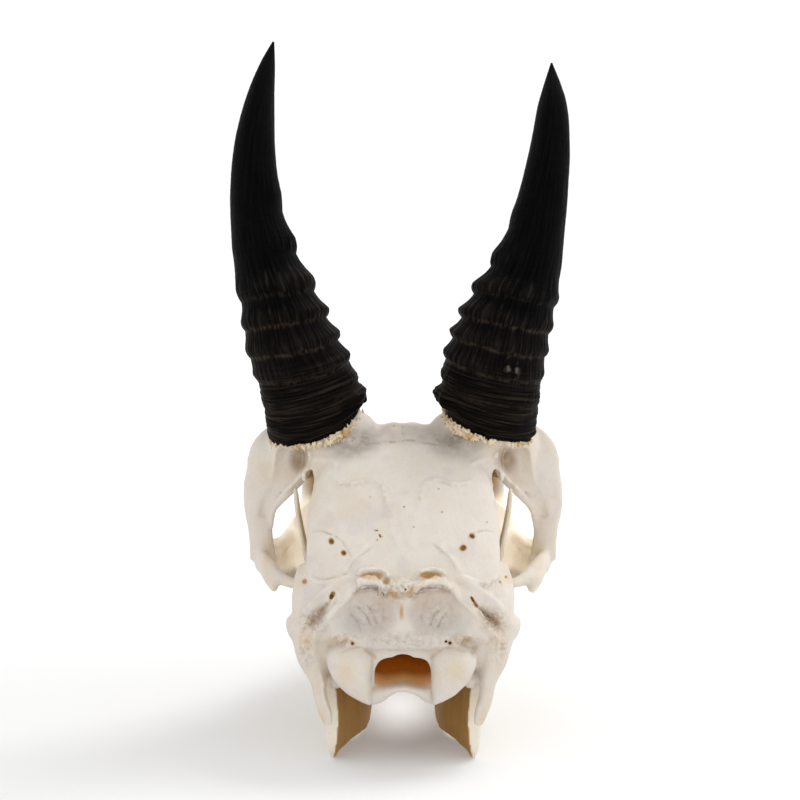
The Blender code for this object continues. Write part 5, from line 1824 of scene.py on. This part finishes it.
@dataclass
class CheekTeeth:
    """One row of grinding teeth, each with its half moon folds."""

    side: Side
    upper: bool
    lengths: Sequence[float]
    half_widths: Sequence[float]
    start: float
    line: Rows
    height: float
    # Where the chewing plane is read, its height there and how it climbs forward
    chewing: tuple[float, float, float] = (79.0, 33.0, -0.0875)
    gap: float = 0.4
    side_gap: float = 0.24
    sides: int = 56
    squareness: float = 3.4
    fold_depth: float = 0.13
    molars: int = 3
    # Share of the height and how full the tooth is there, from the middle of the chewing face
    stations: Rows = ((0, 0.02), (0, 0.45), (0, 0.8), (0.03, 0.92), (0.12, 1), (0.4, 1), (0.7, 0.95), (1, 0.84))

    def chewing_z(self, y: Any) -> Any:
        """Height at which the upper and lower teeth meet."""
        start, height, climb = self.chewing
        return height + (y - start) * climb

    def build(self) -> Piece:
        """Builds the row."""
        bm = bmesh.new()
        y = self.start
        for number, (length, half_width) in enumerate(zip(self.lengths, self.half_widths)):
            lobes = 2 if number < self.molars else 1
            skin(bm, self.tooth(y + length / 2, (length - self.side_gap) / 2, half_width, lobes))
            y += length
        name = ("upper" if self.upper else "lower") + "_cheek_teeth_" + self.side.word
        made = new_piece(name, bm)
        clay = Skin(made)
        clay.shift(0.06 * Grain(61).at(clay.points, 1.2, 2))
        paint = Paint(len(clay.points), "#e2d9c8")
        hollow = clay.hollowness(3)
        worn = self.gap + 1.6 - np.abs(clay.points[:, 2] - self.chewing_z(clay.points[:, 1]))
        paint.wash(soft_step(hollow, 0.01, 0.12), "#7d5c36", 0.8)
        paint.wash(soft_step(worn, 0, 1.4), "#b99b6d", 0.5)
        paint.dry_on(made)
        return made

    def tooth(self, middle: float, half_length: float, half_width: float, lobes: int) -> list[Array]:
        """Rings of points for one tooth, folded between its lobes.

        Args:
            middle: how far forward it stands.
            half_length: half its length along the row.
            half_width: half its width.
            lobes: how many half moons it has.

        Returns:
            The rings, from the chewing face to the root.
        """
        across, up = oval(self.sides, self.squareness)
        fold = 1.0 - self.fold_depth * np.cos(up * math.pi * lobes) ** 8 * (np.abs(across) > 0.55)
        way = 1.0 if self.upper else -1.0
        rings = []
        for share, full in self.stations:
            folded = fold if full > 0.5 else 1.0
            x = self.side.value * along(self.line, middle) + half_width * full * across * folded
            place = middle + half_length * min(full * 1.02, 1.0) * up
            rim = 0.5 * np.cos(up * math.pi * lobes + math.pi) * soft_step(full, 0.5, 0.95)
            crown = (0.55 + 0.45 * rim) if share < 0.1 else 0.0
            dip = 0.9 * np.cos(full * math.pi * 2.4) if share == 0 else 0.0
            rise = self.gap / 2 + share * self.height + 0.5 + 0.35 * dip - 0.5 * crown
            rings.append(np.column_stack([x, place, self.chewing_z(place) + way * rise]))
        return rings


@dataclass
class FrontTeeth:
    """The spade-shaped front teeth of one half of the jaw."""

    side: Side
    teeth: Rows = ((2.5, 2.2), (6.2, 1.7), (9.2, 1.4), (11.8, 1.2))
    arc: float = 0.32
    # Share of the place across, step across, y, whether it stands back, z, share of half width, thickness
    stations: Rows = (
        (0.36, 1.2, 178, 0, 15.5, 0.5, 1), (0.72, 0.7, 187, 1, 17, 0.6, 1.1), (1, 0, 193, 1, 18.6, 1, 1),
        (1, 0, 197.5, 1, 21.2, 0.9, 0.6),
    )

    def build(self) -> Piece:
        """Builds the four teeth."""
        bm = bmesh.new()
        for place, half_width in self.teeth:
            rows = []
            for share, step, y, sets_back, z, widen, thick in self.stations:
                rows.append((place * share + step, y - place * self.arc * sets_back, z, half_width * widen, thick))
            tube(bm, rows, 26, 24, self.side.value)
        made = new_piece("front_teeth_" + self.side.word, bm)
        clay = Skin(made)
        paint = Paint(len(clay.points), "#e4dccd")
        paint.wash(soft_fall(clay.points[:, 1], 184, 189), "#b7935c", 0.7)
        paint.dry_on(made)
        return made


# Courses and rings of the two horns, in the order of numbers that HornSheath gives
LEFT_HORN = (
    (-29.4, 57, 102.6, 15, 15), (-30, 55.2, 110, 15.4, 15.2), (-32.2, 53.4, 120, 14.9, 14.9),
    (-36.2, 52.4, 130, 14.1, 14.3), (-40, 52.2, 143, 12.1, 12.7), (-44.3, 52.8, 156, 10.3, 11),
    (-47.1, 54.4, 169, 8.6, 9.4), (-48.2, 57, 182, 7.6, 8.2), (-48, 60.8, 194.5, 6.5, 7),
    (-46.6, 65.9, 207, 4.8, 5.2), (-44, 72, 219.8, 2.2, 2.4), (-42.4, 75, 226.2, 0.3, 0.3),
)
RIGHT_HORN = (
    (28.6, 57, 102.6, 14.9, 15), (28.2, 55.2, 110, 15.6, 15.2), (29.2, 53.4, 120, 15.7, 15),
    (31.4, 52.4, 130, 14.9, 14.5), (35.6, 52.2, 143, 13.2, 13.2), (40.6, 52.8, 156, 10.6, 11.1),
    (43.8, 54.4, 169, 8.6, 9.3), (46, 57, 182, 7.5, 8.1), (47.7, 60.8, 194.5, 6.3, 6.8),
    (48.4, 65.9, 207, 4.5, 4.9), (48.4, 71.8, 219.4, 0.3, 0.3),
)
LEFT_RINGS = (
    (211, 0.7, 0), (253, 1.7, 0.08), (290, 2.2, 0.45), (316, 2.2, 0.5), (339, 2, 0.5), (361, 1.5, 0.5),
    (384, 1, 0.3),
)
RIGHT_RINGS = (
    (229, 0.7, 0), (266, 1.8, 0.1), (293, 2.3, 0.45), (317, 2.3, 0.5), (337, 2.1, 0.5), (359, 1.5, 0.5),
    (381, 1, 0.3),
)
# How far the growth planes of the right horn fall at its rim
RIGHT_TIP = 0.19
# The cheek teeth of each jaw, by the names that CheekTeeth gives
UPPER_TEETH = {
    "lengths": (12, 12, 10.5, 7.5, 7.5, 6.5),
    "half_widths": (5.2, 5.6, 5.4, 4.4, 4, 3.4),
    "start": 79.0,
    "line": ((78, 23.5), (100, 21.8), (120, 18.2), (136, 15)),
    "height": 13.0,
}
LOWER_TEETH = {
    "lengths": (16, 12, 10.5, 7, 6.5, 6),
    "half_widths": (3.2, 3.4, 3.3, 2.8, 2.4, 2),
    "start": 69.0,
    "line": ((66, 20.6), (90, 16.8), (110, 15.2), (128, 13.2)),
    "height": 14.0,
}


@dataclass
class Studio:
    """A white floor that glows, with painted shade round the skull and a painted pool of light on the floor between
    the halves of the jaw, even soft light, and a soft box above that leaves a shadow under the jaw.
    """

    floor_half: float = 30.0
    floor_tone: float = 0.7
    floor_glow: float = 0.33
    # Painted shade: the share of that glow that is left close round the skull; painted pool of light: what the floor's
    # glow adds between the halves of the jaw
    painted_shade_share: float = 0.38
    painted_pool_glow: float = 0.58
    # Centre and half sizes of the two ovals, in metres on the floor
    painted_shade_oval: tuple[Row, Row] = ((-0.12, -0.04, 0.0), (0.45, 0.45, 1.0))
    painted_pool_oval: tuple[Row, Row] = ((0.0, -0.012, 0.0), (0.021, 0.056, 1.0))
    world: float = 0.98
    key_watts: float = 6.5
    key_size: float = 0.55
    key_place: Row = (0.6, 0.35, 1.15)
    key_aim: Row = (0.0, -0.04, 0.08)

    def set_up(self) -> None:
        """Makes the floor, the world and the lights."""
        bm = bmesh.new()
        bmesh.ops.create_grid(bm, x_segments=8, y_segments=8, size=self.floor_half)
        floor = new_piece("studio_floor", bm)
        mix = Recipe("matt_white_sweep")
        place = mix.place()
        # Painted shade round the skull and a painted pool of light between the jaw halves, both in the floor's glow
        painted_shade_glow = self.painted_shade_share * self.floor_glow
        wide = self.fading(mix.tree, place, *self.painted_shade_oval, painted_shade_glow, self.floor_glow)
        lamp = self.fading(mix.tree, place, *self.painted_pool_oval, self.painted_pool_glow, 0.0)
        floor.data.materials.append(mix.finish({
            "Base Color": (self.floor_tone,) * 3 + (1.0,),
            "Emission Color": (1.0, 1.0, 1.0, 1.0),
            "Emission Strength": add_node(mix.tree, "Math", {0: wide, 1: lamp}, operation="ADD"),
            "Roughness": 0.9,
            "Specular IOR Level": 0.1,
        }))
        world = bpy.data.worlds.new("even_white_light")
        world.use_nodes = True
        # Courses in the picture that both a shape and a paint follow: stains, painted shade and painted highlights.
        ground = world.node_tree.nodes["Background"]
        ground.inputs["Color"].default_value = (1.0, 1.0, 1.0, 1.0)
        ground.inputs["Strength"].default_value = self.world
        bpy.context.scene.world = world
        self.set_up_soft_box()
        bpy.context.scene.view_settings.view_transform = "Standard"

    @staticmethod
    def fading(tree: Tree, place: Any, centre: Row, half_sizes: Row, middle: float, rim: float) -> Any:
        """A number that changes softly from the middle of an oval to its rim."""
        moved = add_node(tree, "VectorMath", {0: place, 1: centre}, operation="SUBTRACT")
        scaled = add_node(tree, "VectorMath", {0: moved, 1: half_sizes}, operation="DIVIDE")
        away = add_node(tree, "VectorMath", {0: scaled}, "Value", operation="LENGTH")
        feeds = {"Value": away, "To Min": middle, "To Max": rim}
        return add_node(tree, "MapRange", feeds, "Result", interpolation_type="SMOOTHSTEP")

    def set_up_soft_box(self) -> None:
        """Makes the square soft box that looks at the skull."""
        light = bpy.data.lights.new("key", "AREA")
        light.energy, light.size = self.key_watts, self.key_size
        lamp = bpy.data.objects.new("key", light)
        lamp.location = self.key_place
        aim = Vector(self.key_aim) - Vector(self.key_place)
        lamp.rotation_euler = aim.to_track_quat("-Z", "Y").to_euler()
        bpy.context.scene.collection.objects.link(lamp)


def build_bones(bone: bpy.types.Material) -> list[Finished]:
    """Builds the cranium, and the nasals and premaxillae that are cut out of it."""
    painter, cuts, plan = BonePainter(), MuzzleCuts(), Cranium()
    cranium = plan.rough_out()
    LOG.info("cranium roughed out, %d faces", len(cranium.data.polygons))
    clay = plan.carve(cranium)
    depths = clay.depths
    LOG.info("cranium carved")
    muzzle = {}
    for side in Side:
        for word, block in (("nasal", cuts.nasal_block), ("premaxilla", cuts.premaxilla_block)):
            piece = twin_of(cranium, word + "_bone_" + side.word)
            combine(piece, block(0.0), Joining.CROSS)
            combine(piece, cuts.half(side), Joining.CROSS)
            muzzle[word + "_" + side.word] = piece
    combine(cranium, cuts.nasal_block(cuts.gap), Joining.CUT)
    combine(cranium, cuts.premaxilla_block(cuts.gap), Joining.CUT)
    drilled = plan.bore(cranium, clay)
    whole = Skin(cranium, depths)
    near = whole.seen * soft_fall(whole.depth, *plan.kept_fine)
    lighten(cranium, plan.triangles, np.clip(whole.spread(near, 4), 0.0, 1.0))
    LOG.info("cranium thinned")
    thinned = Skin(cranium, depths)
    painter.paint(thinned, drilled).dry_on(cranium)
    store(cranium, "crumbly", plan.roughness_of(thinned))
    # Painted glow: the share of emission on the sides of the thin plates under the eyes that face back
    painted_glow_facing = soft_step(-thinned.normals[:, 1], -0.05, 0.2)
    store(cranium, "thin", painted_glow_facing * painter.plates(thinned.points, thinned.normals))
    finished = [(cranium, bone, "bone", "cranium")]
    for node, piece in muzzle.items():
        lighten(piece, quality(30_000))
        painter.paint(Skin(piece, depths)).dry_on(piece)
        finished.append((piece, bone, "bone", node))
    return finished


def build_horns(keratin: bpy.types.Material, bone: bpy.types.Material) -> list[Finished]:
    """Builds the two sheaths and the rim of bone under each."""
    left_rim = HornBurr(Side.LEFT, LEFT_HORN[0])
    right_rim = HornBurr(Side.RIGHT, RIGHT_HORN[0], tip=RIGHT_TIP, grains=460, crowd=(20.0, 36.0), seed=8)
    left = HornSheath(Side.LEFT, LEFT_HORN, LEFT_RINGS)
    right = HornSheath(Side.RIGHT, RIGHT_HORN, RIGHT_RINGS, rim_tip=RIGHT_TIP, worn=Dish(512, 368, 10, 15))
    finished = []
    for sheath, rim in ((left, left_rim), (right, right_rim)):
        finished.append((sheath.build(), keratin, "horn", "horn_" + sheath.side.word))
        finished.append((rim.build(), bone, "bone", "cranium"))
    return finished


def build_jaws(bone: bpy.types.Material, enamel: bpy.types.Material) -> list[Finished]:
    """Builds the halves of the lower jaw and all the teeth."""
    finished = []
    for side in Side:
        jaw = "mandible_" + side.word
        finished += [
            (Mandible(side).build(), bone, "jaw_bone", jaw),
            (CheekTeeth(side, True, **UPPER_TEETH).build(), enamel, "bone", "cranium"),
            (CheekTeeth(side, False, **LOWER_TEETH).build(), enamel, "jaw_bone", jaw),
            (FrontTeeth(side).build(), enamel, "jaw_bone", jaw),
        ]
    return finished


def build_skull() -> None:
    """Builds, dresses and declares every piece of the skull."""
    bone, keratin, enamel = DryBone().make(), HornKeratin().make(), WornEnamel().make()
    for piece, finish, slot, node in build_bones(bone) + build_horns(keratin, bone) + build_jaws(bone, enamel):
        piece.data.materials.clear()
        piece.data.materials.append(finish)
        seat_in_frame(piece)
        declare(piece, node)


def main() -> None:
    """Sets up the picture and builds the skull."""
    logging.basicConfig(level=logging.INFO, format="%(relativeCreated)7d ms %(message)s")
    VIEW.set_up()
    Studio().set_up()
    build_skull()


if __name__ == "__main__":
    main()
